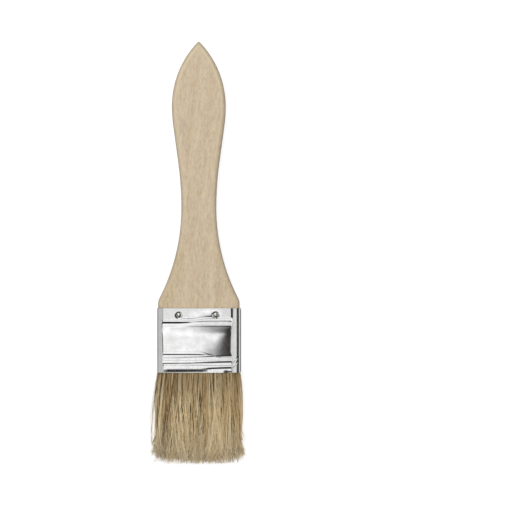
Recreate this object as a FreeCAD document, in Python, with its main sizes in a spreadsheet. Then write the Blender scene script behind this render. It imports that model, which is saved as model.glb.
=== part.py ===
"""Flat pastry brush: a wooden paddle handle nailed into a pressed tinplate ferrule, and
natural bristles set in resin round a filler strip.

The brush lies on its back. +X is across it, +Y runs towards the tip of the handle and +Z is
up, out of its front. The origin is on the table, under the middle of the whole brush.

Every piece is drawn in the brush's own frame, whose origin is the middle of the ferrule's
upper edge, and is then moved by one placement, the seat.
"""
import FreeCAD, Part
import math
import os
import Sketcher

# Driving dimensions, in millimetres: alias, value, meaning.
SIZES = [
    ("handle_reach", 133.8, "ferrule's upper edge to the tip of the handle"),
    ("handle_thickness", 8.4, "flat blank that the handle is cut from"),
    ("edge_radius", 2.7, "rounding of the handle's long edges"),
    ("point_radius", 0.8, "rounding of the handle's point, seen from the front"),
    ("head_width", 27.0, "widest part of the paddle"),
    ("head_position", 101.5, "height of the widest part above the ferrule"),
    ("head_radius", 71.0, "curve of the paddle below its widest part"),
    ("neck_width", 17.5, "narrowest part of the handle"),
    ("neck_position", 50.5, "height of the neck above the ferrule"),
    ("throat_radius", 165.0, "hollow curve above the neck"),
    ("shoulder_width", 40.9, "handle where it enters the ferrule"),
    ("shoulder_rise", 2.2, "straight stretch above the ferrule"),
    ("shoulder_radius", 6.0, "rounding of the shoulder"),
    ("tang_length", 13.0, "handle inside the ferrule"),
    ("ferrule_height", 32.6, "tinplate band, along the brush"),
    ("sheet", 0.35, "thickness of the tinplate"),
    ("wood_fit", 0.05, "clearance between the handle and the ferrule"),
    ("band_drop", 0.6, "nail band below the panel"),
    ("band_height", 5.5, "height of the nail band"),
    ("panel_width", 34.4, "pressed part of the ferrule's faces"),
    ("press_offset", -0.6, "pressing and nails, off the brush's axis"),
    ("side_strip", 2.9, "plain strip of a face beside the pressing, to the brush's side"),
    ("strip_slope", 0.19, "fall of a side strip, per millimetre across"),
    ("corner_radius", 0.9, "long corners of the ferrule"),
    ("groove_tool", 1.1, "radius of the round pressing tool"),
    ("groove_depth", 0.45, "depth of a pressed groove"),
    ("upper_groove", 8.0, "groove above the panel, below the upper edge"),
    ("lower_groove", 23.65, "first groove below the panel"),
    ("groove_pitch", 3.7, "step between the lower grooves"),
    ("seam_width", 4.4, "lock seam on the right edge"),
    ("seam_raise", 0.4, "how far the seam stands out"),
    ("seam_slit", 0.15, "line left by the folded edge"),
    ("seam_lip", 1.2, "folded edge to the seam's side"),
    ("nail_spacing", 18.4, "between the two nails of a face"),
    ("nail_drop", 3.5, "nails below the ferrule's upper edge"),
    ("nail_stagger", 2.4, "back nails moved in, so that the shanks pass"),
    ("nail_head", 2.6, "diameter of the domed head"),
    ("nail_dome", 0.75, "height of the head"),
    ("nail_rim", 0.15, "upright rim of the head"),
    ("nail_shank", 1.2, "diameter of the shank"),
    ("nail_length", 6.0, "shank with its point"),
    ("nail_point", 1.4, "length of the point"),
    ("nail_fit", 0.02, "clearance round a shank"),
    ("dimple_depth", 0.22, "seat pressed by a nail's head"),
    ("dimple_margin", 0.15, "seat beyond the head"),
    ("resin_height", 3.0, "resin plug over the bristles' heels"),
    ("heel_height", 3.0, "resin-soaked heel of a bank of bristles"),
    ("heel_fit", 0.05, "clearance between the set heel and the ferrule"),
    ("strip_thickness", 2.4, "filler strip at its upper edge"),
    ("strip_edge", 1.2, "filler strip at its lower edge"),
    ("strip_length", 13.0, "filler strip, along the brush"),
    ("strip_margin", 1.2, "strip's end to the ferrule's inside"),
    ("bristle_reach", 45.6, "bristles beyond the ferrule"),
    ("bristle_fan", 1.115, "spread of the bristles, tip to root"),
    ("bristle_belly", 0.5, "share of the reach where the tuft is thickest"),
    ("belly_depth", 9.8, "thickness of the tuft there"),
    ("tip_fan", 1.07, "spread of the bristles' ends, tip to root"),
    ("tip_depth", 7.4, "thickness of the tuft at its end"),
    ("corner_cut", 6.5, "how much shorter the outermost bristles are"),
    ("length_spread", 1.6, "unevenness of the bristles' ends"),
    ("strand_width", 0.90, "bunch of bristles, across the brush"),
    ("strand_depth", 0.55, "bunch of bristles, through the brush"),
    ("strand_gap", 0.14, "clearance from a strand to its neighbours"),
]
COLUMNS = 38  # strands across a bank
ROWS = 4  # strands through a bank
GOLDEN = 0.6180339887  # steps a spread without repeating
CORNER_POWER = 8  # how sharply the row of ends rounds off at its corners
END_TAPER = 0.6  # width of a strand's end, as a share of its root
END_SWAY = 0.2  # how far a strand's end strays sideways
STRAND_SINK = 0.5  # root of a strand, inside the heel

# Expressions that several pieces share.
FIT_AND_SHEET = "(Sizes.wood_fit + Sizes.sheet)"
FERRULE_WIDTH = f"(Sizes.shoulder_width + 2 * {FIT_AND_SHEET})"
BAND_DEPTH = f"(Sizes.handle_thickness + 2 * {FIT_AND_SHEET})"
FERRULE_DEPTH = f"({BAND_DEPTH} + 2 * Sizes.band_drop)"
INSIDE_WIDTH = f"({FERRULE_WIDTH} - 2 * Sizes.sheet)"
INSIDE_DEPTH = f"({FERRULE_DEPTH} - 2 * Sizes.sheet)"
CREST = f"({FERRULE_WIDTH} / 2 - Sizes.side_strip)"
SEAT_Y = "(Sizes.bristle_reach + Sizes.ferrule_height - Sizes.handle_reach) / 2"
SEAT_Z = f"{FERRULE_DEPTH} / 2"
RESIN_TOP = "Sizes.tang_length"
HEEL_TOP = f"({RESIN_TOP} + Sizes.resin_height)"
SLOPE_FOOT = round(math.tan(math.radians(22.5)), 6)  # a 45 degree wall's foot moves by this, per offset
OVERRUN = 1.0  # how far a cutting tool runs past what it cuts
OVERLAP = 0.1  # how far two tools run into each other

doc = FreeCAD.newDocument("pastry_brush")
sheet = doc.addObject("Spreadsheet::Sheet", "Sizes")
for row, (alias, value, meaning) in enumerate(SIZES, start=1):
    sheet.set(f"A{row}", meaning)
    sheet.set(f"B{row}", str(value))
    sheet.setAlias(f"B{row}", alias)
doc.recompute()


def size(alias):
    """A driving dimension as a plain number."""
    return float(getattr(sheet, alias))


def bind(item, **expressions):
    """Ties properties of a document object to the sheet; __ in a name stands for a dot."""
    for name, expression in expressions.items():
        item.setExpression(name.replace("__", "."), str(expression))
    return item


def seated(item):
    """Moves a finished piece from the brush's own frame onto the table."""
    return bind(item, Placement__Base__y=SEAT_Y, Placement__Base__z=SEAT_Z)


def origin_plane(body, role):
    """One of a body's own origin planes."""
    return next(item for item in body.Origin.OriginFeatures if item.Role == role)


def new_sketch(body, name, role):
    """An empty sketch on one of its body's origin planes."""
    sketch = body.newObject("Sketcher::SketchObject", name)
    sketch.AttachmentSupport = (origin_plane(body, role), "")
    sketch.MapMode = "FlatFace"
    return sketch


def dimension(sketch, name, expression, kind, *where):
    """A named driving constraint whose value comes from the sheet."""
    value = float(sketch.evalExpression(expression))
    number = sketch.addConstraint(Sketcher.Constraint(kind, *where, value))
    sketch.renameConstraint(number, name)
    sketch.setExpression(f"Constraints.{name}", expression)
    return number


def combine(kind, name, base, tool):
    """A boolean of two document objects."""
    result = doc.addObject(kind, name)
    result.Base = base
    result.Tool = tool
    return result


def fuse(name, members):
    """A union of document objects."""
    result = doc.addObject("Part::MultiFuse", name)
    result.Shapes = members
    return result


def paddle_outline(body):
    """Right half of the handle's outline, a chain of tangent arcs closed along the axis.

    From the tang it goes up the shoulder, in along the flare to the neck, out along the throat
    and the straight swell to the cheek, where the paddle is widest, and over the brow to the point.
    """
    sketch = new_sketch(body, "paddle_outline", "XY_Plane")
    tip = size("handle_reach")
    foot = -size("tang_length")
    shoulder, rise, round_off = size("shoulder_width") / 2, size("shoulder_rise"), size("shoulder_radius")
    neck, neck_y, throat = size("neck_width") / 2, size("neck_position"), size("throat_radius")
    head, head_y, cheek = size("head_width") / 2, size("head_position"), size("head_radius")

    # Where the chain starts out, worked out from tangency, so that the solver has little to do.
    level = neck_y - rise
    inset = neck - shoulder + round_off
    flare = (inset**2 + level**2 - round_off**2) / (2 * (round_off - inset))
    shoulder_turn = math.atan2(level, inset + flare)
    across, along = neck + throat - head + cheek, neck_y - head_y
    swell_turn = -math.atan2(along, across) - math.acos((throat + cheek) / math.hypot(across, along))
    point = size("point_radius")
    brow_rise = tip - point - head_y
    brow = (head**2 + brow_rise**2 - point**2) / (2 * (head - point))
    brow_turn = math.atan2(brow_rise, brow - head)

    def place(x, y):
        return FreeCAD.Vector(x, y, 0)

    def arc(centre, radius, start, end):
        circle = Part.Circle(centre, FreeCAD.Vector(0, 0, 1), radius)
        return sketch.addGeometry(Part.ArcOfCircle(circle, start, end))

    def line(start, end):
        return sketch.addGeometry(Part.LineSegment(start, end))

    def polar(centre, radius, angle):
        return centre + place(radius * math.cos(angle), radius * math.sin(angle))

    throat_centre = place(neck + throat, neck_y)
    cheek_centre = place(head - cheek, head_y)
    base = line(place(0, foot), place(shoulder, foot))
    side = line(place(shoulder, foot), place(shoulder, rise))
    corner = arc(place(shoulder - round_off, rise), round_off, 0, shoulder_turn)
    flare_arc = arc(place(neck + flare, neck_y), flare, math.pi, math.pi + shoulder_turn)
    throat_arc = arc(throat_centre, throat, math.pi - swell_turn, math.pi)
    swell = line(polar(throat_centre, throat, math.pi - swell_turn), polar(cheek_centre, cheek, -swell_turn))
    cheek_arc = arc(cheek_centre, cheek, -swell_turn, 0)
    brow_arc = arc(place(head - brow, head_y), brow, 0, brow_turn)
    point_arc = arc(place(0, tip - point), point, brow_turn, math.pi / 2)
    axis = line(place(0, tip), place(0, foot))

    start, end, middle = 1, 2, 3
    for kind, *where in (
        ("Coincident", axis, end, base, start),
        ("Coincident", base, end, side, start),
        ("Coincident", point_arc, end, axis, start),
        ("PointOnObject", base, start, -2),
        ("Horizontal", base),
        ("Vertical", side),
        ("Vertical", axis),
        ("Tangent", side, end, corner, start),
        ("Tangent", corner, end, flare_arc, end),
        ("Tangent", flare_arc, start, throat_arc, end),
        ("Tangent", throat_arc, start, swell, start),
        ("Tangent", swell, end, cheek_arc, start),
        ("Tangent", cheek_arc, end, brow_arc, start),
        ("Tangent", brow_arc, end, point_arc, start),
        ("Horizontal", flare_arc, middle, flare_arc, start),
        ("Horizontal", brow_arc, middle, brow_arc, start),
        ("PointOnObject", point_arc, middle, -2),
    ):
        sketch.addConstraint(Sketcher.Constraint(kind, *where))
    dimension(sketch, "shoulder", "Sizes.shoulder_width / 2", "DistanceX", -1, 1, side, end)
    dimension(sketch, "rise", "Sizes.shoulder_rise", "DistanceY", -1, 1, side, end)
    dimension(sketch, "shoulder_round", "Sizes.shoulder_radius", "Radius", corner)
    dimension(sketch, "neck", "Sizes.neck_width / 2", "DistanceX", -1, 1, throat_arc, end)
    dimension(sketch, "neck_level", "Sizes.neck_position", "DistanceY", -1, 1, throat_arc, end)
    dimension(sketch, "throat", "Sizes.throat_radius", "Radius", throat_arc)
    dimension(sketch, "head", "Sizes.head_width / 2", "DistanceX", -1, 1, cheek_arc, end)
    dimension(sketch, "head_level", "Sizes.head_position", "DistanceY", -1, 1, cheek_arc, end)
    dimension(sketch, "cheek", "Sizes.head_radius", "Radius", cheek_arc)
    dimension(sketch, "point", "Sizes.point_radius", "Radius", point_arc)
    dimension(sketch, "tip", "Sizes.handle_reach", "DistanceY", -1, 1, point_arc, end)
    dimension(sketch, "foot", "Sizes.tang_length", "DistanceY", base, start, -1, 1)
    return sketch


def handle_blank():
    """The handle before it is nailed: the outline in its full thickness, with its long edges rounded."""
    body = doc.addObject("PartDesign::Body", "handle_blank")
    outline = paddle_outline(body)
    half = body.newObject("PartDesign::Pad", "half_paddle")
    half.Profile = outline
    half.SideType = "Symmetric"
    bind(half, Length="Sizes.handle_thickness")
    whole = body.newObject("PartDesign::Mirrored", "whole_paddle")
    whole.Originals = [half]
    whole.MirrorPlane = (outline, ["V_Axis"])
    body.Tip = whole
    doc.recompute()
    foot = -size("tang_length")
    edges = []
    for number, edge in enumerate(whole.Shape.Edges, start=1):
        on_a_face = abs(edge.BoundBox.Center.z) > OVERLAP
        if on_a_face and edge.BoundBox.YMax > foot + OVERLAP:
            edges.append(f"Edge{number}")
    rounding = body.newObject("PartDesign::Fillet", "long_edges")
    rounding.Base = (whole, edges)
    bind(rounding, Radius="Sizes.edge_radius")
    body.Tip = rounding
    return body


def prism(name, corners, length, drop=0):
    """A body with a straight-sided section, along the brush from a drop below the ferrule's upper edge."""
    body = doc.addObject("PartDesign::Body", name)
    sketch = new_sketch(body, f"{name}_section", "XZ_Plane")
    bind(sketch, AttachmentOffset__Base__z=drop)
    points = []
    for across, through in corners:
        x, z = float(sketch.evalExpression(across)), float(sketch.evalExpression(through))
        points.append(FreeCAD.Vector(x, z, 0))
    sides = []
    for start, end in zip(points, points[1:] + points[:1]):
        sides.append(sketch.addGeometry(Part.LineSegment(start, end)))
    for side, following in zip(sides, sides[1:] + sides[:1]):
        sketch.addConstraint(Sketcher.Constraint("Coincident", side, 2, following, 1))
    for side, (across, through) in zip(sides, corners):
        dimension(sketch, f"across_{side}", across, "DistanceX", -1, 1, side, 1)
        dimension(sketch, f"through_{side}", through, "DistanceY", -1, 1, side, 1)
    pad = body.newObject("PartDesign::Pad", f"{name}_pad")
    pad.Profile = sketch
    bind(pad, Length=length)
    body.Tip = pad
    return body


def ferrule_block(name, inset, length, drop=0):
    """A block with the ferrule's own section, drawn in by an inset all round.

    Its broad faces are flat in the middle and fall away a little towards the rounded corners.
    """
    side = f"({FERRULE_WIDTH} / 2 - {inset})"
    crest_level = f"({FERRULE_DEPTH} / 2 - {inset})"
    side_level = f"({crest_level} - Sizes.strip_slope * (Sizes.side_strip - {inset}))"
    corners = [
        (f"-{CREST}", f"-{crest_level}"),
        (CREST, f"-{crest_level}"),
        (side, f"-{side_level}"),
        (side, side_level),
        (CREST, crest_level),
        (f"-{CREST}", crest_level),
        (f"-{side}", side_level),
        (f"-{side}", f"-{side_level}"),
    ]
    body = prism(name, corners, length, drop)
    doc.recompute()
    block = body.Tip
    beyond = block.Shape.BoundBox.XMax - OVERLAP
    edges = []
    for number, edge in enumerate(block.Shape.Edges, start=1):
        if edge.BoundBox.YLength > OVERLAP and abs(edge.BoundBox.Center.x) > beyond:
            edges.append(f"Edge{number}")
    rounding = body.newObject("PartDesign::Fillet", f"{name}_corners")
    rounding.Base = (block, edges)
    bind(rounding, Radius=f"Sizes.corner_radius - {inset}")
    body.Tip = rounding
    return body


def primitive(kind, name, **expressions):
    """A Part primitive with its sizes and place tied to the sheet."""
    return bind(doc.addObject(kind, name), **expressions)


def turned(item, axis, angle):
    """Turns a primitive that stands along Z to another direction."""
    item.Placement.Rotation = FreeCAD.Rotation(FreeCAD.Vector(*axis), angle)
    return item


def groove_tools(face, sign, growth, name):
    """Round pressing tools of one face, a groove above the panel and three below it, with bevelled ends."""
    drops = ["Sizes.upper_groove"]
    for step in range(3):
        drops.append(f"(Sizes.lower_groove + {step} * Sizes.groove_pitch)")
    bars = []
    for number, drop in enumerate(drops):
        bar = primitive(
            "Part::Cylinder",
            f"{name}_{face}_bar_{number}",
            Radius=f"Sizes.groove_tool + {growth}",
            Height=FERRULE_WIDTH,
            Placement__Base__x=f"-{FERRULE_WIDTH} / 2",
            Placement__Base__y=f"-{drop}",
            Placement__Base__z=f"{sign} * ({FERRULE_DEPTH} / 2 + Sizes.groove_tool - Sizes.groove_depth)",
        )
        bars.append(turned(bar, (0, 1, 0), 90))
    ends = bevelled_tool(f"{name}_{face}_ends", sign, growth, "Sizes.groove_depth", "Sizes.ferrule_height")
    return combine("Part::Common", f"{name}_{face}_grooves", fuse(f"{name}_{face}_bars", bars), ends)


def bevelled_tool(label, sign, growth, depth, drop):
    """A flat tool as wide as the pressing, whose end and lower walls slope at 45 degrees.

    It is pressed to a depth below the panel, from above the ferrule's upper edge to a drop below it.
    """
    rise = f"({depth} + {growth} + {OVERRUN})"
    foot = f"(Sizes.panel_width / 2 - {depth} + {SLOPE_FOOT} * {growth})"
    end = f"({drop} + {SLOPE_FOOT} * {growth})"
    tool = primitive(
        "Part::Wedge",
        label,
        Xmin=f"-{foot}",
        Xmax=foot,
        X2min=f"-{foot} - {rise}",
        X2max=f"{foot} + {rise}",
        Ymin=0,
        Ymax=rise,
        Zmin=f"-{OVERRUN}",
        Zmax=end,
        Z2min=f"-{OVERRUN}",
        Z2max=f"{end} + {rise}",
        Placement__Base__x="Sizes.press_offset",
        Placement__Base__z=f"{sign} * ({FERRULE_DEPTH} / 2 - {depth} - {growth})",
    )
    return turned(tool, (1, 0, 0), 90) if sign > 0 else turned(tool, (0, 1, -1), 180)


def nail_places():
    """Where the nails are: face, its sign, side, distance from the middle of the pressing."""
    places = []
    for face, sign, inset in (("front", 1, "0"), ("back", -1, "Sizes.nail_stagger")):
        for side, direction in (("left", "-"), ("right", "+")):
            across = f"Sizes.press_offset {direction} (Sizes.nail_spacing / 2 - {inset})"
            places.append((face, sign, side, across))
    return places


def dimple_tools(growth, name):
    """Cones that sink the seats of the nails' heads into the nail band."""
    seat = f"(Sizes.nail_head / 2 + Sizes.dimple_margin + {SLOPE_FOOT} * {growth})"
    rise = f"(Sizes.dimple_depth + {growth} + {OVERLAP})"
    tools = []
    for face, sign, side, across in nail_places():
        tool = primitive(
            "Part::Cone",
            f"{name}_{face}_{side}_dimple",
            Radius1=seat,
            Radius2=f"{seat} + {rise}",
            Height=rise,
            Placement__Base__x=across,
            Placement__Base__y="-Sizes.nail_drop",
            Placement__Base__z=f"{sign} * ({BAND_DEPTH} / 2 - Sizes.dimple_depth - {growth})",
        )
        tools.append(tool if sign > 0 else turned(tool, (1, 0, 0), 180))
    return tools


def pressing(name, growth):
    """Everything that is pressed into the ferrule, grown by the sheet for its inner side."""
    tools = dimple_tools(growth, name)
    for face, sign in (("front", 1), ("back", -1)):
        tools.append(groove_tools(face, sign, growth, name))
        band = bevelled_tool(f"{name}_{face}_band", sign, growth, "Sizes.band_drop", "Sizes.band_height")
        tools.append(band)
    return fuse(name, tools)


def nail_holes(name):
    """Holes for the four nails' shanks, through the sheet and into the tang."""
    tools = []
    for face, sign, side, across in nail_places():
        hole = primitive(
            "Part::Cylinder",
            f"{name}_{face}_{side}",
            Radius="Sizes.nail_shank / 2 + Sizes.nail_fit",
            Height=f"Sizes.nail_length + Sizes.nail_fit + {OVERRUN}",
            Placement__Base__x=across,
            Placement__Base__y="-Sizes.nail_drop",
            Placement__Base__z=f"{sign} * ({BAND_DEPTH} / 2 - Sizes.dimple_depth + {OVERRUN})",
        )
        tools.append(turned(hole, (1, 0, 0), 180) if sign > 0 else hole)
    return fuse(name, tools)


def make_handle(holes):
    """Wooden paddle with its tang, dented and holed where the nails go in."""
    dents = fuse("handle_dents", dimple_tools(FIT_AND_SHEET, "handle"))
    dented = combine("Part::Cut", "dented_handle", handle_blank(), dents)
    return seated(combine("Part::Cut", "handle", dented, holes))


def make_seam():
    """Lock seam: a raised strip down the ferrule's right edge, with the line of its folded sheet."""
    root = f"{FERRULE_WIDTH} / 2 - Sizes.sheet / 2"
    crest = f"{FERRULE_WIDTH} / 2 + Sizes.seam_raise"
    side = "Sizes.seam_width / 2"
    corners = [
        (root, f"-{side}"),
        (crest, f"-{side} + Sizes.seam_raise"),
        (crest, f"{side} - Sizes.seam_raise"),
        (root, side),
    ]
    strip = prism("seam_strip", corners, "Sizes.ferrule_height")
    slit = primitive(
        "Part::Box",
        "seam_slit",
        Length="Sizes.seam_raise",
        Width=f"Sizes.ferrule_height + 2 * {OVERRUN}",
        Height="Sizes.seam_slit",
        Placement__Base__x=f"{FERRULE_WIDTH} / 2 + Sizes.seam_raise / 2",
        Placement__Base__y=f"-Sizes.ferrule_height - {OVERRUN}",
        Placement__Base__z=f"{side} - Sizes.seam_lip",
    )
    return combine("Part::Cut", "seam", strip, slit)


def make_ferrule(holes):
    """Pressed tinplate band: its outside and its inside carry the same pressing, one sheet apart."""
    tube = ferrule_block("ferrule_outside", "0", "Sizes.ferrule_height")
    seamed = fuse("seamed_outside", [tube, make_seam()])
    outside = combine("Part::Cut", "pressed_outside", seamed, pressing("outer_pressing", "0"))
    bore_length = f"Sizes.ferrule_height + 2 * {OVERRUN}"
    bore = ferrule_block("ferrule_inside", "Sizes.sheet", bore_length, f"-{OVERRUN}")
    inside = combine("Part::Cut", "pressed_inside", bore, pressing("inner_pressing", "Sizes.sheet"))
    shell = combine("Part::Cut", "ferrule_shell", outside, inside)
    return seated(combine("Part::Cut", "ferrule", shell, holes))


def make_nail(face, sign, side, across):
    """One domed nail, turned about its own axis and driven in from its face."""
    body = doc.addObject("PartDesign::Body", f"nail_{face}_{side}")
    sketch = new_sketch(body, "nail_profile", "XZ_Plane")
    head, shank = size("nail_head") / 2, size("nail_shank") / 2
    rim, dome = size("nail_rim"), size("nail_dome")
    length, shoulder = size("nail_length"), size("nail_length") - size("nail_point")
    crown = (head**2 + (dome - rim) ** 2) / (2 * (dome - rim))

    def line(*ends):
        start, end = (FreeCAD.Vector(x, z, 0) for x, z in ends)
        return sketch.addGeometry(Part.LineSegment(start, end))

    axis = line((0, dome), (0, -length))
    point = line((0, -length), (shank, -shoulder))
    shaft = line((shank, -shoulder), (shank, 0))
    underside = line((shank, 0), (head, 0))
    edge = line((head, 0), (head, rim))
    circle = Part.Circle(FreeCAD.Vector(0, dome - crown, 0), FreeCAD.Vector(0, 0, 1), crown)
    start_angle = math.asin((rim - dome + crown) / crown)
    cap = sketch.addGeometry(Part.ArcOfCircle(circle, start_angle, math.pi / 2))
    chain = [axis, point, shaft, underside, edge, cap]
    for piece, following in zip(chain, chain[1:] + chain[:1]):
        sketch.addConstraint(Sketcher.Constraint("Coincident", piece, 2, following, 1))
    for upright in (axis, shaft, edge):
        sketch.addConstraint(Sketcher.Constraint("Vertical", upright))
    sketch.addConstraint(Sketcher.Constraint("Horizontal", underside))
    sketch.addConstraint(Sketcher.Constraint("PointOnObject", cap, 3, -2))
    sketch.addConstraint(Sketcher.Constraint("PointOnObject", axis, 1, -2))
    sketch.addConstraint(Sketcher.Constraint("PointOnObject", underside, 1, -1))
    dimension(sketch, "dome", "Sizes.nail_dome", "DistanceY", -1, 1, axis, 1)
    dimension(sketch, "length", "Sizes.nail_length", "DistanceY", axis, 2, -1, 1)
    dimension(sketch, "point", "Sizes.nail_point", "DistanceY", point, 1, point, 2)
    dimension(sketch, "shank", "Sizes.nail_shank / 2", "DistanceX", -1, 1, shaft, 1)
    dimension(sketch, "head", "Sizes.nail_head / 2", "DistanceX", -1, 1, edge, 1)
    dimension(sketch, "rim", "Sizes.nail_rim", "DistanceY", edge, 1, edge, 2)

    turning = body.newObject("PartDesign::Revolution", "turned_nail")
    turning.Profile = sketch
    turning.ReferenceAxis = (sketch, ["V_Axis"])
    turning.Angle = 360
    body.Tip = turning
    if sign < 0:
        turned(body, (1, 0, 0), 180)
    seat = f"({BAND_DEPTH} / 2 - Sizes.dimple_depth)"
    return bind(
        body,
        Placement__Base__x=across,
        Placement__Base__y=f"{SEAT_Y} - Sizes.nail_drop",
        Placement__Base__z=f"{SEAT_Z} + {sign} * {seat}",
    )


def fitted_block(name, length, drop):
    """A block that fills the ferrule from wall to wall, less the heel's clearance."""
    return ferrule_block(name, "(Sizes.sheet + Sizes.heel_fit)", length, drop)


def make_filler_strip():
    """Wooden wedge between the two banks of bristles, which spreads them."""
    half_width = f"({INSIDE_WIDTH} / 2 - Sizes.strip_margin)"
    strip = primitive(
        "Part::Wedge",
        "filler_strip",
        Xmin=f"-{half_width}",
        Xmax=half_width,
        X2min=f"-{half_width}",
        X2max=half_width,
        Ymin=0,
        Ymax="Sizes.strip_length",
        Zmin="-Sizes.strip_edge / 2",
        Zmax="Sizes.strip_edge / 2",
        Z2min="-Sizes.strip_thickness / 2",
        Z2max="Sizes.strip_thickness / 2",
        Placement__Base__y=f"{SEAT_Y} - {HEEL_TOP} - Sizes.strip_length",
        Placement__Base__z=SEAT_Z,
    )
    return strip


def make_heel(face, sign):
    """Resin-soaked heel of one bank: the part of a fitted block on its side of the filler strip."""
    block = fitted_block(f"heel_block_{face}", "Sizes.heel_height", HEEL_TOP)
    level = "Sizes.strip_thickness / 2"
    side = primitive(
        "Part::Box",
        f"heel_side_{face}",
        Length=FERRULE_WIDTH,
        Width="Sizes.heel_height",
        Height=FERRULE_DEPTH,
        Placement__Base__x=f"-{FERRULE_WIDTH} / 2",
        Placement__Base__y=f"-{HEEL_TOP} - Sizes.heel_height",
        Placement__Base__z=level if sign > 0 else f"-{level} - {FERRULE_DEPTH}",
    )
    heel = doc.addObject("Part::Common", f"heel_{face}")
    heel.Base, heel.Tool = block, side
    return heel


def flat_loft(rings):
    """A ruled loft through rings of corners whose sides are parallel, so that its faces are flat."""
    faces = [Part.Face(Part.makePolygon(ring + ring[:1])) for ring in (rings[0], rings[-1])]
    for ring, following in zip(rings, rings[1:]):
        for corner in range(len(ring)):
            side = [ring[corner - 1], ring[corner], following[corner], following[corner - 1]]
            faces.append(Part.Face(Part.makePolygon(side + side[:1])))
    solid = Part.Solid(Part.Shell(faces))
    return solid if solid.Volume > 0 else solid.reversed()


class Tuft:
    """Places of the strands of both banks, in the brush's own frame.

    Each strand is straight from its root in the heel to the tuft's belly, past the ferrule's mouth,
    and straight again from there to its end. A station of the tuft is its level, its innermost and
    outermost rows, its spread and the size of a strand's section.
    """

    def __init__(self):
        self.half_width, self.half_depth = size("strand_width") / 2, size("strand_depth") / 2
        gap = size("strand_gap")
        inside_width, inside_depth, crest = (
            float(sheet.evalExpression(expression.replace("Sizes.", "")))
            for expression in (INSIDE_WIDTH, INSIDE_DEPTH, CREST)
        )
        mouth = -size("ferrule_height")
        root = STRAND_SINK - size("tang_length") - size("resin_height") - size("heel_height")
        belly = mouth - size("bristle_belly") * size("bristle_reach")
        end = mouth - size("bristle_reach")
        backwards = (root - mouth) / (mouth - belly)

        ridge = inside_depth / 2 - size("groove_depth")
        mouth_outer = ridge - gap - self.half_depth
        belly_outer = size("belly_depth") / 2 - self.half_depth
        root_outer = mouth_outer + (mouth_outer - belly_outer) * backwards
        root_inner = size("strip_thickness") / 2 + gap + self.half_depth
        middle = gap + self.half_depth
        fan = size("bristle_fan")
        self.root = (root, root_inner, root_outer, 1 - (fan - 1) * backwards, 1.0)
        self.belly = (belly, middle, belly_outer, fan, 1.0)
        self.end = (end, middle, size("tip_depth") / 2 - self.half_depth, size("tip_fan"), END_TAPER)

        mouth_inner = root_inner + (middle - root_inner) * backwards / (1 + backwards)
        self.mouth_rows = (mouth_inner, mouth_outer)
        self.side_reach = inside_width / 2 - gap - self.half_width
        self.crest_reach = crest - self.half_width
        self.crest_level = inside_depth / 2 - gap - self.half_depth

    def row_reach(self, row):
        """Half the width of a row at the ferrule's mouth, which the ferrule's sloping strips limit."""
        inner, outer = self.mouth_rows
        level = inner + (outer - inner) * row / (ROWS - 1)
        under_strip = self.crest_reach + (self.crest_level - level) / size("strip_slope")
        return min(self.side_reach, under_strip)

    def section(self, station, sign, row, share, sway=0.0):
        """Centre and size of a strand's section at a station."""
        level, inner, outer, spread, scale = station
        through = sign * (inner + (outer - inner) * row / (ROWS - 1))
        across = (2 * share - 1) * self.row_reach(row) * spread + sway
        return FreeCAD.Vector(across, level, through), scale

    def strand(self, sign, row, column):
        """One strand: a tapering three-sided loft from the heel to its own end, its ridge outwards."""
        number = (column - COLUMNS // 2) * ROWS + row
        share = (column + 0.25 + 0.5 * (row % 2)) / COLUMNS
        chance = (number * GOLDEN) % 1.0
        cut = size("length_spread") * chance + size("corner_cut") * abs(2 * share - 1) ** CORNER_POWER
        sway = END_SWAY * math.sin(2 * math.pi * GOLDEN * number)
        root = self.section(self.root, sign, row, share)
        belly, full = self.section(self.belly, sign, row, share)
        end, taper = self.section(self.end, sign, row, share, sway)
        kept = 1 - cut / (belly.y - end.y)
        tip = (belly + (end - belly) * kept, full + (taper - full) * kept)
        rings = []
        for centre, scale in (root, (belly, full), tip):
            wide = FreeCAD.Vector(self.half_width * scale, 0, 0)
            deep = FreeCAD.Vector(0, 0, sign * self.half_depth * scale)
            rings.append([centre - wide - deep, centre + wide - deep, centre + deep])
        return flat_loft(rings)


def make_bristles(tuft, face, sign):
    """One bank of bristles: its strands, fused once to its heel."""
    heel = make_heel(face, sign)
    doc.recompute()
    strands = []
    for row in range(ROWS):
        for column in range(COLUMNS):
            strands.append(tuft.strand(sign, row, column))
    bank = doc.addObject("Part::Feature", f"bristles_{face}")
    bank.Shape = heel.Shape.multiFuse(strands)
    return seated(bank)


nail_bores = nail_holes("nail_holes")
pieces = [make_handle(nail_bores), make_ferrule(nail_bores)]
for nail_place in nail_places():
    pieces.append(make_nail(*nail_place))
resin = seated(fitted_block("resin_plug", "Sizes.resin_height", RESIN_TOP))
pieces += [resin, make_filler_strip()]
doc.recompute()
both_banks = Tuft()
for bank_face, bank_sign in (("front", 1), ("back", -1)):
    pieces.append(make_bristles(both_banks, bank_face, bank_sign))
doc.recompute()

for item in doc.Objects:
    if "Invalid" in item.State or "Error" in item.State:
        raise RuntimeError(f"{item.Label}: {item.State}")
for piece in pieces:
    if piece.Shape.isNull() or not piece.Shape.isValid() or not piece.Shape.Solids:
        raise RuntimeError(f"{piece.Label} has no valid solid")
os.makedirs("parts", exist_ok=True)
for piece in pieces:
    piece.Shape.exportStep(f"parts/{piece.Label}.step")
    box = piece.Shape.BoundBox
    extent = f"{box.XLength:.2f} x {box.YLength:.2f} x {box.ZLength:.2f}"
    print(f"{piece.Label}: {len(piece.Shape.Solids)} solid, {extent}")
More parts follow.
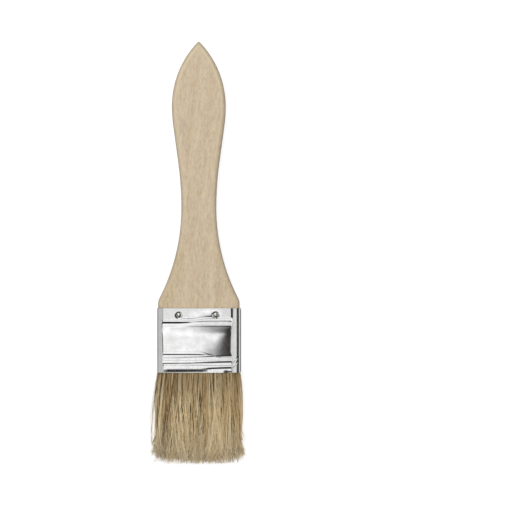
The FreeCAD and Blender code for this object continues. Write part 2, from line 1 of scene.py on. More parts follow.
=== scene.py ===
"""The looks of a flat pastry brush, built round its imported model.

Everything is in metres in the model's own frame: +X runs across the brush, +Y towards the
tip of the handle and +Z up out of its front. The origin is on the table, under the middle
of the whole brush. A size marked "across" or "along" on the ferrule is measured from the
brush's axis, and from the ferrule's upper edge down towards the bristles.
"""
import sys
import logging
import math
from collections.abc import Sequence
from dataclasses import dataclass, field
from enum import Enum

import bmesh
import bpy
import numpy as np
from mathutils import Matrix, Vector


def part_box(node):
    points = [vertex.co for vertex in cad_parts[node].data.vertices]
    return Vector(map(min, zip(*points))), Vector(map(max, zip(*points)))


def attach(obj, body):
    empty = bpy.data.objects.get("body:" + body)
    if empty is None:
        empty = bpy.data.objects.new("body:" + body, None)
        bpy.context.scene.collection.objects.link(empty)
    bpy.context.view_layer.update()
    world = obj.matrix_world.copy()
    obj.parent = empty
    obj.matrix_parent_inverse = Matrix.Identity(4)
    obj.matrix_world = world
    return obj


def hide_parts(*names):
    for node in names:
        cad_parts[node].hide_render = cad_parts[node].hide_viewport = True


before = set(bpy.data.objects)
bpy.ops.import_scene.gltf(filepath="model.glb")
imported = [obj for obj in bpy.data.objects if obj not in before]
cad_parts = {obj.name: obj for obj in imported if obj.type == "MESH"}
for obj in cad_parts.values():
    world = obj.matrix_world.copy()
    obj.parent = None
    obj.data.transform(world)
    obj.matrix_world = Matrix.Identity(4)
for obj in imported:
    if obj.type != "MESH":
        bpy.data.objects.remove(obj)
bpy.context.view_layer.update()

MM = 0.001
BODY = "root"
WELD = 0.004 * MM
SEED_STEP = 7.0
SHARP_ANGLE = math.radians(60)
NODES_A_ROW = 12
NODE_WIDTH = 190.0
NODE_HEIGHT = 260.0

Colour = tuple[float, float, float, float]
Socket = bpy.types.NodeSocket
Feed = Socket | bpy.types.Material | float | int | bool | str | Sequence[float]
Feeds = dict[int | str, Feed]

log = logging.getLogger("pastry_brush")


class Slot(Enum):
    """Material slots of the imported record."""

    WOOD = "handle_wood"
    TIN = "tinplate"
    NAIL = "nail_steel"
    RESIN = "setting_resin"
    FILLER = "filler_wood"
    BRISTLE = "bristle"


class Face(Enum):
    """The two broad faces of the brush, by their names in the model."""

    FRONT = "front"
    BACK = "back"


def tone(red: float, green: float, blue: float) -> Colour:
    """Turns a colour as a screen shows it into the linear colour that a shader takes.

    Args:
        red: Red, 0 to 255.
        green: Green, 0 to 255.
        blue: Blue, 0 to 255.

    Returns:
        The linear colour, opaque.
    """
    linear = []
    for level in (red, green, blue):
        share = level / 255
        linear.append(share / 12.92 if share <= 0.04045 else ((share + 0.055) / 1.055) ** 2.4)
    return (linear[0], linear[1], linear[2], 1.0)


def ease(value: np.ndarray, low: float, high: float) -> np.ndarray:
    """Rises smoothly from 0 at low to 1 at high.

    Args:
        value: Where to read the step.
        low: Where the rise starts.
        high: Where the rise ends; less than low for a fall.

    Returns:
        The step at each value.
    """
    share = np.clip((value - low) / (high - low), 0.0, 1.0)
    return share * share * (3.0 - 2.0 * share)


def made_piece(mesh: bpy.types.Mesh, name: str, material: bpy.types.Material) -> bpy.types.Object:
    """Puts a finished mesh into the scene as a piece that rides with the brush.

    Args:
        mesh: The mesh, in its place.
        name: Name of the piece.
        material: The finish.

    Returns:
        The piece.
    """
    piece = bpy.data.objects.new(name, mesh)
    bpy.context.scene.collection.objects.link(piece)
    mesh.materials.clear()
    mesh.materials.append(material)
    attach(piece, BODY)
    log.info("piece %s: %d faces", name, len(mesh.polygons))
    return piece


def grid_mesh(name: str, points: np.ndarray, faces: np.ndarray) -> bpy.types.Mesh:
    """Makes a smooth mesh of points and four-sided faces.

    Args:
        name: Name of the mesh.
        points: One row of three coordinates for each point.
        faces: One row of four point numbers for each face.

    Returns:
        The mesh.
    """
    mesh = bpy.data.meshes.new(name)
    mesh.from_pydata(points.tolist(), [], faces.tolist())
    mesh.validate()
    mesh.shade_smooth()
    mesh.set_sharp_from_angle(angle=SHARP_ANGLE)
    return mesh


def tube_faces(lines: int, columns: int) -> np.ndarray:
    """Lists the faces of a tube of points, which closes round and is open at its ends.

    Args:
        lines: Number of rings.
        columns: Number of points round each.

    Returns:
        One row of four point numbers for each face.
    """
    row, column = np.meshgrid(np.arange(lines - 1), np.arange(columns), indexing="ij")
    near, far = row * columns, (row + 1) * columns
    ahead = (column + 1) % columns
    return np.stack((near + column, near + ahead, far + ahead, far + column), -1).reshape(-1, 4)


def weld_and_close(mesh: bpy.types.Mesh) -> None:
    """Joins points that coincide, closes open ends and turns every face outwards.

    Args:
        mesh: The mesh to mend.
    """
    work = bmesh.new()
    work.from_mesh(mesh)
    bmesh.ops.remove_doubles(work, verts=work.verts, dist=WELD)
    bmesh.ops.dissolve_degenerate(work, dist=WELD / 4, edges=work.edges)
    open_edges = [edge for edge in work.edges if edge.is_boundary]
    if open_edges:
        bmesh.ops.holes_fill(work, edges=open_edges, sides=0)
    bmesh.ops.recalc_face_normals(work, faces=work.faces)
    work.to_mesh(mesh)
    work.free()
    mesh.shade_smooth()


class Wiring:
    """Adds nodes to one node tree and joins them."""

    def __init__(self, tree: bpy.types.NodeTree) -> None:
        """Starts on a tree.

        Args:
            tree: The tree to add to.
        """
        self.tree = tree

    @staticmethod
    def socket(sockets: Sequence[Socket], key: int | str) -> Socket:
        """Finds a socket.

        Args:
            sockets: A node's inputs or outputs.
            key: The socket's number, or its name among those in use.

        Returns:
            The socket.
        """
        if isinstance(key, int):
            return sockets[key]
        return next((item for item in sockets if item.name == key and item.enabled), sockets[key])

    def fill(self, node: bpy.types.Node, feeds: Feeds) -> None:
        """Fills a node's inputs.

        Args:
            node: The node.
            feeds: What goes in, by number or name: a socket to join, or a value.
        """
        for key, feed in feeds.items():
            if isinstance(feed, Socket):
                self.tree.links.new(feed, self.socket(node.inputs, key))
            else:
                self.socket(node.inputs, key).default_value = feed

    def add(self, kind: str, feeds: Feeds | None = None, **settings: object) -> bpy.types.Node:
        """Adds a node, makes its settings and fills its inputs.

        Args:
            kind: The node's type.
            feeds: What goes into its inputs, as fill takes it.
            **settings: Properties of the node.

        Returns:
            The node.
        """
        node = self.tree.nodes.new(kind)
        row, column = divmod(len(self.tree.nodes), NODES_A_ROW)
        node.location = (column * NODE_WIDTH, -row * NODE_HEIGHT)
        for name, value in settings.items():
            setattr(node, name, value)
        self.fill(node, feeds or {})
        return node

    def out(self, kind: str, feeds: Feeds | None = None, **settings: object) -> Socket:
        """Adds a node as add does, and returns its first output."""
        return self.add(kind, feeds, **settings).outputs[0]

    def maths(self, operation: str, *feeds: Feed, clamp: bool = False) -> Socket:
        """One step of arithmetic.

        Args:
            operation: The Math node's operation.
            *feeds: Its inputs in order.
            clamp: Whether the result is kept between 0 and 1.

        Returns:
            The result.
        """
        return self.out("ShaderNodeMath", dict(enumerate(feeds)), operation=operation, use_clamp=clamp)

    def plus(self, first: Feed, second: Feed) -> Socket:
        """Adds two numbers."""
        return self.maths("ADD", first, second)

    def minus(self, first: Feed, second: Feed) -> Socket:
        """Takes the second number from the first."""
        return self.maths("SUBTRACT", first, second)

    def times(self, first: Feed, *others: Feed) -> Socket:
        """Multiplies numbers.

        Args:
            first: The first number.
            *others: The rest.

        Returns:
            The result.
        """
        for other in others:
            first = self.maths("MULTIPLY", first, other)
        return first

    def times_plus(self, first: Feed, second: Feed, third: Feed) -> Socket:
        """Multiplies two numbers and adds a third."""
        return self.maths("MULTIPLY_ADD", first, second, third)

    def signed(self, share: Feed) -> Socket:
        """Carries 0 to 1 over to -1 to 1."""
        return self.times_plus(share, 2.0, -1.0)

    def scaled(self, vector: Feed, factor: Feed) -> Socket:
        """Scales a vector or a colour by a number."""
        return self.out("ShaderNodeVectorMath", {0: vector, "Scale": factor}, operation="SCALE")

    def remap(self, value: Feed, low: float, high: float, first: Feed = 0.0, last: Feed = 1.0) -> Socket:
        """Carries a range of values smoothly over to another.

        Args:
            value: What is read.
            low: The value that gives first.
            high: The value that gives last.
            first: Result at low.
            last: Result at high.

        Returns:
            The result.
        """
        feeds = {"Value": value, "From Min": low, "From Max": high, "To Min": first, "To Max": last}
        return self.out("ShaderNodeMapRange", feeds, interpolation_type="SMOOTHSTEP")

    def window(self, value: Feed, low: float, high: float, soft: float) -> Socket:
        """A mask that is 1 between two values and falls softly to 0 outside them.

        Args:
            value: What is read.
            low: Middle of the lower slope.
            high: Middle of the upper slope.
            soft: Half of a slope's width.

        Returns:
            The mask.
        """
        rise = self.remap(value, low - soft, low + soft)
        return self.times(rise, self.remap(value, high - soft, high + soft, 1.0, 0.0))

    def blend(self, share: Feed, first: Feed, second: Feed) -> Socket:
        """Mixes two colours; the share is how much of the second."""
        return self.add("ShaderNodeMix", {0: share, 6: first, 7: second}, data_type="RGBA").outputs[2]

    def level(self, share: Feed, first: Feed, second: Feed) -> Socket:
        """Mixes two numbers; the share is how much of the second."""
        return self.out("ShaderNodeMix", {0: share, 2: first, 3: second}, data_type="FLOAT")

    def axes(self, vector: Feed) -> tuple[Socket, Socket, Socket]:
        """Splits a vector into its three numbers."""
        return tuple(self.add("ShaderNodeSeparateXYZ", {0: vector}).outputs)

    def joined(self, x: Feed, y: Feed, z: Feed) -> Socket:
        """Makes a vector of three numbers."""
        return self.out("ShaderNodeCombineXYZ", {0: x, 1: y, 2: z})

    def noise(self, vector: Feed, scale: Feed, detail: Feed = 2.0, roughness: float = 0.5) -> Socket:
        """Smooth noise between about 0 and 1.

        Args:
            vector: Where it is read.
            scale: Features in a metre, or in a unit of the vector.
            detail: Number of finer layers.
            roughness: Strength of the finer layers.

        Returns:
            The noise.
        """
        feeds = {"Vector": vector, "Scale": scale, "Detail": detail, "Roughness": roughness}
        return self.out("ShaderNodeTexNoise", feeds)

    def attribute(self, name: str) -> Socket:
        """Reads a number that the mesh keeps with each point."""
        return self.add("ShaderNodeAttribute", attribute_name=name).outputs["Fac"]

    def bumped(self, height: Feed, distance: float, strength: float = 1.0) -> Socket:
        """A normal that follows a height."""
        return self.out("ShaderNodeBump", {"Strength": strength, "Distance": distance, "Height": height})


class Effect:
    """A shader node group that several finishes share. It takes a place and gives one value."""

    def __init__(self, name: str, inputs: dict[str, float]) -> None:
        """Makes the group with its sockets.

        Args:
            name: Name of the group.
            inputs: Default of each input but Vector, by name.
        """
        self.tree = bpy.data.node_groups.new(name, "ShaderNodeTree")
        new_socket = self.tree.interface.new_socket
        new_socket("Vector", in_out="INPUT", socket_type="NodeSocketVector")
        for label, default in inputs.items():
            new_socket(label, in_out="INPUT", socket_type="NodeSocketFloat").default_value = default
        new_socket("Value", in_out="OUTPUT", socket_type="NodeSocketFloat")
        self.wiring = Wiring(self.tree)
        self.given = self.wiring.add("NodeGroupInput").outputs

    def give(self, value: Socket) -> None:
        """Joins a value to the group's output."""
        self.wiring.add("NodeGroupOutput", {"Value": value})

    def place(self, wiring: Wiring, place: Socket, **feeds: Feed) -> Socket:
        """Puts the group into a material.

        Args:
            wiring: The material's wiring.
            place: Where the effect is read.
            **feeds: The group's other inputs, by name.

        Returns:
            The effect's value.
        """
        return wiring.out("ShaderNodeGroup", {"Vector": place, **feeds}, node_tree=self.tree)


class Effects:
    """The effects that the finishes share, each built once."""

    def __init__(self) -> None:
        """Builds every group."""
        self.drawn = self.build_drawn()
        self.patches = self.build_patches()

    @staticmethod
    def build_drawn() -> Effect:
        """Noise drawn out along the brush, as grain, rolling marks and strands are.

        Returns:
            The group, which takes a feature's Width and Length in metres, a Detail and a Shift.
        """
        effect = Effect("drawn_out", {"Width": 1 * MM, "Length": 20 * MM, "Detail": 2.0, "Shift": 0.0})
        wiring, given = effect.wiring, effect.given
        x, y, z = wiring.axes(given["Vector"])
        across = wiring.plus(wiring.maths("DIVIDE", x, given["Width"]), given["Shift"])
        along = wiring.maths("DIVIDE", y, given["Length"])
        place = wiring.joined(across, along, wiring.maths("DIVIDE", z, given["Width"]))
        effect.give(wiring.noise(place, 1.0, given["Detail"]))
        return effect

    @staticmethod
    def build_patches() -> Effect:
        """Uneven patches, as handling and weather leave them.

        Returns:
            The group, which takes a patch's Size in metres and the Low and High strength.
        """
        effect = Effect("uneven_patches", {"Size": 5 * MM, "Low": 0.0, "High": 1.0})
        wiring, given = effect.wiring, effect.given
        noise = wiring.noise(given["Vector"], wiring.maths("DIVIDE", 1.0, given["Size"]), 4.0, 0.6)
        effect.give(wiring.level(wiring.remap(noise, 0.32, 0.68), given["Low"], given["High"]))
        return effect


def new_material(name: str) -> tuple[bpy.types.Material, Wiring, bpy.types.Node, Socket]:
    """Starts a material with one Principled shader.

    Args:
        name: Name of the material.

    Returns:
        The material, its wiring, its shader and the object coordinates.
    """
    material = bpy.data.materials.new(name)
    material.use_nodes = True
    material.node_tree.nodes.clear()
    wiring = Wiring(material.node_tree)
    shader = wiring.add("ShaderNodeBsdfPrincipled")
    wiring.add("ShaderNodeOutputMaterial", {0: shader.outputs[0]})
    return material, wiring, shader, wiring.add("ShaderNodeTexCoord").outputs["Object"]


@dataclass(frozen=True)
class Ring:
    """A darker growth ring that runs out over the handle's flare; lengths in millimetres."""

    middle: float
    lean: float
    half: float
    top: float
    strength: float
    soft: float = 1.1
    fade: float = 14.0

    def mask(self, wiring: Wiring, x: Socket, y: Socket) -> Socket:
        """Where the ring shows.

        Args:
            wiring: The material's wiring.
            x: Distance across the brush.
            y: Distance along the brush.

        Returns:
            The mask.
        """
        leant = wiring.times_plus(y, -self.lean, x)
        low, high = (self.middle - self.half) * MM, (self.middle + self.half) * MM
        fading = wiring.remap(y, self.top * MM, (self.top - self.fade) * MM, 0.0, self.strength)
        return wiring.times(wiring.window(leant, low, high, self.soft * MM), fading)


@dataclass(frozen=True)
class BeechFinish:
    """Raw beech, sawn and sandpapered but neither oiled nor varnished."""

    name: str = "raw_beech"
    pale: Colour = tone(214, 195, 168)
    warm: Colour = tone(202, 178, 151)
    streak: Colour = tone(190, 169, 139)
    fleck: Colour = tone(178, 157, 128)
    mist: Colour = tone(204, 190, 171)
    # pale specks in the grain, and the painted highlight on the rounded edges near the head
    rim: Colour = tone(222, 206, 172)
    # painted shade for the rounded sides, which turn away from the light
    painted_flank_shade: Colour = tone(166, 152, 134)
    smudge: Colour = tone(172, 158, 142)
    roughness: float = 0.66
    gloss: float = 0.3
    relief: float = 0.05 * MM
    grain_lean: float = 0.11
    patch_stretch: float = 0.28
    rings: tuple[Ring, ...] = (
        Ring(-10.0, 0.2, 2.8, 8.0, 0.85),
        Ring(9.5, -0.02, 1.6, 12.0, 0.9),
        Ring(1.5, -0.03, 1.6, 60.0, 0.25),
    )
    mark_place: tuple[float, float] = (-7.6 * MM, 63 * MM)
    mark_size: tuple[float, float] = (2.0 * MM, 5.0 * MM)

    def material(self, effects: Effects) -> bpy.types.Material:
        """Builds the finish.

        Args:
            effects: The shared effects.

        Returns:
            The material.
        """
        material, wiring, shader, place = new_material(self.name)
        x, y, z = wiring.axes(place)
        across = wiring.times_plus(wiring.maths("MAXIMUM", y, 0.0), -self.grain_lean, x)
        leant = wiring.joined(across, y, z)
        stretched = wiring.joined(across, wiring.times(y, self.patch_stretch), z)
        drawn, patches = effects.drawn.place, effects.patches.place
        broad = drawn(wiring, leant, Width=5 * MM, Length=90 * MM, Detail=2.0)
        fine = drawn(wiring, leant, Width=0.9 * MM, Length=26 * MM, Detail=3.0, Shift=4.0)
        flecks = drawn(wiring, leant, Width=0.5 * MM, Length=2.6 * MM, Detail=1.0, Shift=9.0)
        mist = patches(wiring, place, Size=4.5 * MM, Low=0.0, High=0.6)
        mottle = patches(wiring, stretched, Size=1.1 * MM, Low=0.0, High=0.4)
        bright = patches(wiring, stretched, Size=0.75 * MM, Low=0.0, High=0.55)
        speck = patches(wiring, place, Size=0.8 * MM, Low=-0.5, High=0.5)
        edge = wiring.attribute("rim")
        # painted highlight: the upper part of the rounded edges, most near the head, is painted paler, as if
        # light from above catches it
        painted_edge_highlight = wiring.times(wiring.window(edge, 0.12, 0.5, 0.14), wiring.remap(y, 0.03, 0.1, 0.15, 0.75))

        colour = wiring.blend(wiring.remap(broad, 0.4, 0.6), self.pale, self.warm)
        for share, layer in (
            (mist, self.mist),
            (wiring.remap(fine, 0.42, 0.78, 0.0, 0.55), self.streak),
            (self.ringed(wiring, x, y, fine), self.streak),
            (mottle, self.fleck),
            (bright, self.rim),
            (wiring.remap(flecks, 0.58, 0.8, 0.0, 0.75), self.fleck),
            (self.handled(wiring, x, y, speck), self.smudge),
            # painted highlight on the rounded edges near the head
            (painted_edge_highlight, self.rim),
            # painted shade: darker towards the side walls, where the rounded edges turn away from the light
            (wiring.remap(edge, 0.68, 1.0, 0.0, 0.7), self.painted_flank_shade),
        ):
            colour = wiring.blend(share, colour, layer)

        rough = wiring.times_plus(speck, 0.1, self.roughness)
        grain = wiring.times_plus(speck, 0.25, wiring.times_plus(flecks, 0.6, fine))
        normal = wiring.bumped(grain, self.relief, 0.6)
        wiring.fill(shader, {"Base Color": colour, "Roughness": rough, "Normal": normal})
        wiring.fill(shader, {"Specular IOR Level": self.gloss})
        return material

    def ringed(self, wiring: Wiring, x: Socket, y: Socket, fine: Socket) -> Socket:
        """The growth rings, broken up by the fine grain.

        Args:
            wiring: The material's wiring.
            x: Distance across the brush.
            y: Distance along the brush.
            fine: The fine grain.

        Returns:
            The mask.
        """
        whole = 0.0
        for ring in self.rings:
            whole = wiring.maths("MAXIMUM", whole, ring.mask(wiring, x, y))
        return wiring.times(whole, wiring.remap(fine, 0.3, 0.6, 0.55, 1.0))

    def handled(self, wiring: Wiring, x: Socket, y: Socket, speck: Socket) -> Socket:
        """A faint grey finger mark at the left of the paddle.

        Args:
            wiring: The material's wiring.
            x: Distance across the brush.
            y: Distance along the brush.
            speck: Fine unevenness.

        Returns:
            The mask.
        """
        squares = []
        for value, middle, size in zip((x, y), self.mark_place, self.mark_size):
            step = wiring.maths("DIVIDE", wiring.minus(value, middle), size)
            squares.append(wiring.maths("POWER", step, 2.0))
        far = wiring.maths("SQRT", wiring.plus(*squares))
        share = wiring.remap(far, 0.2, 1.3, 0.42, 0.0)
        return wiring.maths("MULTIPLY", share, wiring.plus(speck, 0.8), clamp=True)


@dataclass(frozen=True)
class TinFinish:
    """Bright metal with a fine uneven grain, for the tinplate and the nails."""

    name: str
    colour: Colour = tone(238, 238, 237)
    dull: Colour = tone(224, 224, 225)
    smooth: float = 0.09
    worn: float = 0.15
    ripple: float = 0.009 * MM
    ripple_size: float = 0.45 * MM

    def material(self, effects: Effects) -> bpy.types.Material:
        """Builds the finish.

        Args:
            effects: The shared effects.

        Returns:
            The material.
        """
        material, wiring, shader, place = new_material(self.name)
        haze = effects.patches.place(wiring, place, Size=3.2 * MM, Low=0.0, High=1.0)
        rolled = effects.drawn.place(wiring, place, Width=0.35 * MM, Length=5 * MM, Detail=2.0)
        ripple = wiring.noise(place, 1.0 / self.ripple_size, 3.0, 0.62)
        colour = wiring.blend(wiring.times(haze, rolled), self.colour, self.dull)
        rough = wiring.level(wiring.times(haze, 0.6), self.smooth, self.worn)
        normal = wiring.bumped(wiring.times_plus(rolled, 0.2, ripple), self.ripple)
        wiring.fill(shader, {"Base Color": colour, "Metallic": 1.0, "Roughness": rough, "Normal": normal})
        return material


@dataclass(frozen=True)
class ResinFinish:
    """Dark set resin, poured over the heels of the bristles."""

    name: str = "set_resin"
    clear: Colour = tone(124, 84, 46)
    cloudy: Colour = tone(86, 58, 34)
    roughness: float = 0.28
    duller: float = 0.2

    def material(self, effects: Effects) -> bpy.types.Material:
        """Builds the finish.

        Args:
            effects: The shared effects.

        Returns:
            The material.
        """
        material, wiring, shader, place = new_material(self.name)
        cloud = effects.patches.place(wiring, place, Size=2.5 * MM, Low=0.0, High=1.0)
        colour = wiring.blend(cloud, self.clear, self.cloudy)
        rough = wiring.level(cloud, self.roughness, self.roughness + self.duller)
        normal = wiring.bumped(cloud, 0.1 * MM, 0.5)
        wiring.fill(shader, {"Base Color": colour, "Roughness": rough, "Normal": normal})
        return material


@dataclass(frozen=True)
class BristleFinish:
    """Undyed bristle: straw to brown, hair by hair, pale at the split tip, and darker at the root, partly as
    painted shade below the ferrule's mouth.
    """

    name: str = "natural_bristle"
    shades: tuple[tuple[float, Colour], ...] = (
        (0.03, tone(52, 38, 24)),
        (0.19, tone(128, 98, 58)),
        (0.46, tone(228, 198, 143)),
        (0.82, tone(255, 242, 204)),
    )
    # darker colour at the root: partly the bristle's own tone, partly painted shade below the ferrule's mouth
    root: Colour = tone(140, 111, 72)
    flag: Colour = tone(240, 224, 190)
    roughness: float = 0.46
    gloss: float = 0.45
    frayed: float = 0.18

    def material(self, effects: Effects) -> bpy.types.Material:
        """Builds the finish.

        Args:
            effects: The shared effects.

        Returns:
            The material.
        """
        material, wiring, shader, place = new_material(self.name)
        shade, run = wiring.attribute("shade"), wiring.attribute("run")
        flow = effects.drawn.place(wiring, place, Width=0.7 * MM, Length=16 * MM, Detail=2.0)
        ramp = wiring.add("ShaderNodeValToRGB", {0: wiring.times_plus(wiring.minus(flow, 0.5), 0.5, shade)})
        while len(ramp.color_ramp.elements) < len(self.shades):
            ramp.color_ramp.elements.new(0.5)
        for element, (position, colour) in zip(ramp.color_ramp.elements, self.shades):
            element.position, element.color = position, colour
        # painted shade together with the bristle's own tone: darker towards the root, below the ferrule's
        # mouth
        colour = wiring.blend(wiring.remap(run, 0.0, 0.55, 0.55, 0.05), ramp.outputs[0], self.root)
        colour = wiring.blend(wiring.remap(run, 0.45, 1.0, 0.0, 0.42), colour, self.flag)
        rough = wiring.times_plus(run, self.frayed, self.roughness)
        wiring.fill(shader, {"Base Color": colour, "Roughness": rough, "Specular IOR Level": self.gloss})
        return material


@dataclass(frozen=True)
class Arc:
    """One arc of the handle's right-hand outline.

    The outline bulges away from the axis on a round arc, and towards it on a hollow one.
    """

    centre_x: float
    centre_y: float
    radius: float
    hollow: bool
    lower: float
    upper: float

    def half_width(self, y: float) -> tuple[float, float]:
        """Reads the outline at a height.

        Args:
            y: Height above the ferrule.

        Returns:
            The half width, and the cosine of the outline's slope away from the axis.
        """
        rise = y - self.centre_y
        reach = math.sqrt(max(self.radius**2 - rise**2, 1e-14))
        side = -1.0 if self.hollow else 1.0
        return self.centre_x + side * reach, reach / self.radius

    def heights(self, count: int) -> list[float]:
        """Heights that step evenly round the arc, without its upper end.

        Args:
            count: Number of heights.

        Returns:
            The heights.
        """
        start, end = (math.asin((y - self.centre_y) / self.radius) for y in (self.lower, self.upper))
        turns = (start + (end - start) * step / count for step in range(count))
        return [self.centre_y + self.radius * math.sin(turn) for turn in turns]


@dataclass
class Handle:
    """The paddle handle, cut from a flat blank with its long edges rounded over."""

    finish: BeechFinish
    tang: float = 12.98 * MM
    thickness: float = 8.4 * MM
    edge: float = 2.7 * MM
    shoulder: float = 20.45 * MM
    rise: float = 2.2 * MM
    round_off: float = 6.0 * MM
    neck: float = 8.75 * MM
    neck_y: float = 50.5 * MM
    throat: float = 165.0 * MM
    head: float = 13.5 * MM
    head_y: float = 101.5 * MM
    cheek: float = 71.0 * MM
    point: float = 0.8 * MM
    tang_steps: int = 6
    shoulder_steps: int = 3
    arc_steps: tuple[int, ...] = (10, 46, 26, 26, 40, 10)
    edge_steps: int = 9
    flat_steps: int = 14

    def arcs(self, reach: float) -> list[Arc]:
        """The chain of tangent arcs from the shoulder to the point.

        Args:
            reach: The ferrule's upper edge to the tip of the handle.

        Returns:
            The arcs, from the lowest up.
        """
        level, inset = self.neck_y - self.rise, self.neck - self.shoulder + self.round_off
        flare = (inset**2 + level**2 - self.round_off**2) / (2 * (self.round_off - inset))
        turn = math.atan2(level, inset + flare)
        across, along = self.neck + self.throat - self.head + self.cheek, self.neck_y - self.head_y
        swell = -math.atan2(along, across) - math.acos((self.throat + self.cheek) / math.hypot(across, along))
        rise = reach - self.point - self.head_y
        brow = (self.head**2 + rise**2 - self.point**2) / (2 * (self.head - self.point))
        bend = math.atan2(rise, brow - self.head)
        shoulder_top = self.rise + self.round_off * math.sin(turn)
        throat_top = self.neck_y + self.throat * math.sin(swell)
        cheek_foot = self.head_y - self.cheek * math.sin(swell)
        brow_top = self.head_y + brow * math.sin(bend)
        return [
            Arc(self.shoulder - self.round_off, self.rise, self.round_off, False, self.rise, shoulder_top),
            Arc(self.neck + flare, self.neck_y, flare, True, shoulder_top, self.neck_y),
            Arc(self.neck + self.throat, self.neck_y, self.throat, True, self.neck_y, throat_top),
            Arc(self.head - self.cheek, self.head_y, self.cheek, False, cheek_foot, self.head_y),
            Arc(self.head - brow, self.head_y, brow, False, self.head_y, brow_top),
            Arc(0.0, reach - self.point, self.point, False, brow_top, reach),
        ]

    def stations(self, reach: float) -> list[tuple[float, float, float]]:
        """Lists the cross-sections, from the tang to the tip.

        Args:
            reach: The ferrule's upper edge to the tip of the handle.

        Returns:
            Height, half width and slope's cosine of each.
        """
        below, above = self.tang_steps, self.shoulder_steps
        rows = [(-self.tang * (1 - step / below), self.shoulder, 1.0) for step in range(below)]
        rows += [(self.rise * step / above, self.shoulder, 1.0) for step in range(above)]
        for arc, count in zip(self.arcs(reach), self.arc_steps):
            rows += [(y, *arc.half_width(y)) for y in arc.heights(count)]
        rows.append((reach, 0.0, 1e-3))
        return rows

    def section(self, half_width: float, slope: float) -> list[tuple[float, float, float]]:
        """Upper half of one cross-section, from the left edge to the right.

        Args:
            half_width: Half of the handle's width there.
            slope: Cosine of the outline's slope.

        Returns:
            Place across, height above the middle, and how far round the edge, 0 to 1.
        """
        reach = min(self.edge / max(slope, 0.05), half_width)
        right = []
        for step in range(self.edge_steps + 1):
            turn = math.pi / 2 * step / self.edge_steps
            inwards = reach * (1 - math.cos(turn))
            depth = min(inwards * slope, self.edge)
            height = self.thickness / 2 - self.edge + math.sqrt(self.edge**2 - (self.edge - depth) ** 2)
            right.append((half_width - inwards, height, 1 - depth / self.edge))
        flat = half_width - reach
        shares = (2 * step / self.flat_steps - 1 for step in range(1, self.flat_steps))
        inner = [(flat * share, *right[-1][1:]) for share in shares]
        return [(-x, z, rim) for x, z, rim in right] + inner + right[::-1]

    def mesh(self, low_edge: float, middle: float, reach: float) -> bpy.types.Mesh:
        """Builds the handle's surface.

        Args:
            low_edge: The ferrule's upper edge, along Y.
            middle: The brush's mid height.
            reach: That edge to the tip of the handle.

        Returns:
            The mesh, with how far round the edge each point is as the attribute rim.
        """
        points, rims = [], []
        for y, half_width, slope in self.stations(reach):
            upper = self.section(half_width, slope)
            ring = upper + [(x, -z, rim) for x, z, rim in upper[::-1]]
            points += [(x, low_edge + y, middle + z) for x, z, _ in ring]
            rims += [rim for _, _, rim in ring]
        around = 2 * (2 * (self.edge_steps + 1) + self.flat_steps - 1)
        mesh = grid_mesh("paddle_handle", np.array(points), tube_faces(len(points) // around, around))
        layer = mesh.attributes.new("rim", "FLOAT", "POINT")
        layer.data.foreach_set("value", rims)
        weld_and_close(mesh)
        return mesh

    def build(self, effects: Effects) -> None:
        """Makes the handle.

        Args:
            effects: The shared effects.
        """
        low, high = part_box("handle")
        upper_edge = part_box("ferrule")[1].y
        mesh = self.mesh(upper_edge, (low.z + high.z) / 2, high.y - upper_edge)
        piece = made_piece(mesh, "paddle_handle", self.finish.material(effects))
        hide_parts("handle")


@dataclass(frozen=True)
class Groove:
    """A groove pressed across the ferrule, steep on its upper side and easier on its lower.

    Its course is a row of points, each of them a place across the brush, a distance below the
    ferrule's upper edge and a depth there, in millimetres.
    """

    course: tuple[tuple[float, float, float], ...]
    upper_wall: float = 0.4 * MM
    lower_wall: float = 0.6 * MM

    def relief(self, across: np.ndarray, along: np.ndarray) -> np.ndarray:
        """How far the groove lifts the surface, which is a drop.

        Args:
            across: Distance across the brush.
            along: Distance below the ferrule's upper edge.

        Returns:
            The rise.
        """
        places, levels, depths = (np.array(column) * MM for column in zip(*self.course))
        middle = np.interp(across, places, levels)
        reach = np.where(along < middle, self.upper_wall, self.lower_wall)
        return -np.interp(across, places, depths) * np.exp(-(((along - middle) / reach) ** 2))


@dataclass(frozen=True)
class NailSeat:
    """The dished seat that a nail's head draws into the sheet."""

    across: float
    along: float
    depth: float
    flat: float = 1.2 * MM
    rim: float = 2.05 * MM

    def relief(self, across: np.ndarray, along: np.ndarray) -> np.ndarray:
        """How far the seat lifts the surface, which is a drop."""
        far = np.hypot(across - self.across, along - self.along)
        return -self.depth * (1 - ease(far, self.flat, self.rim))


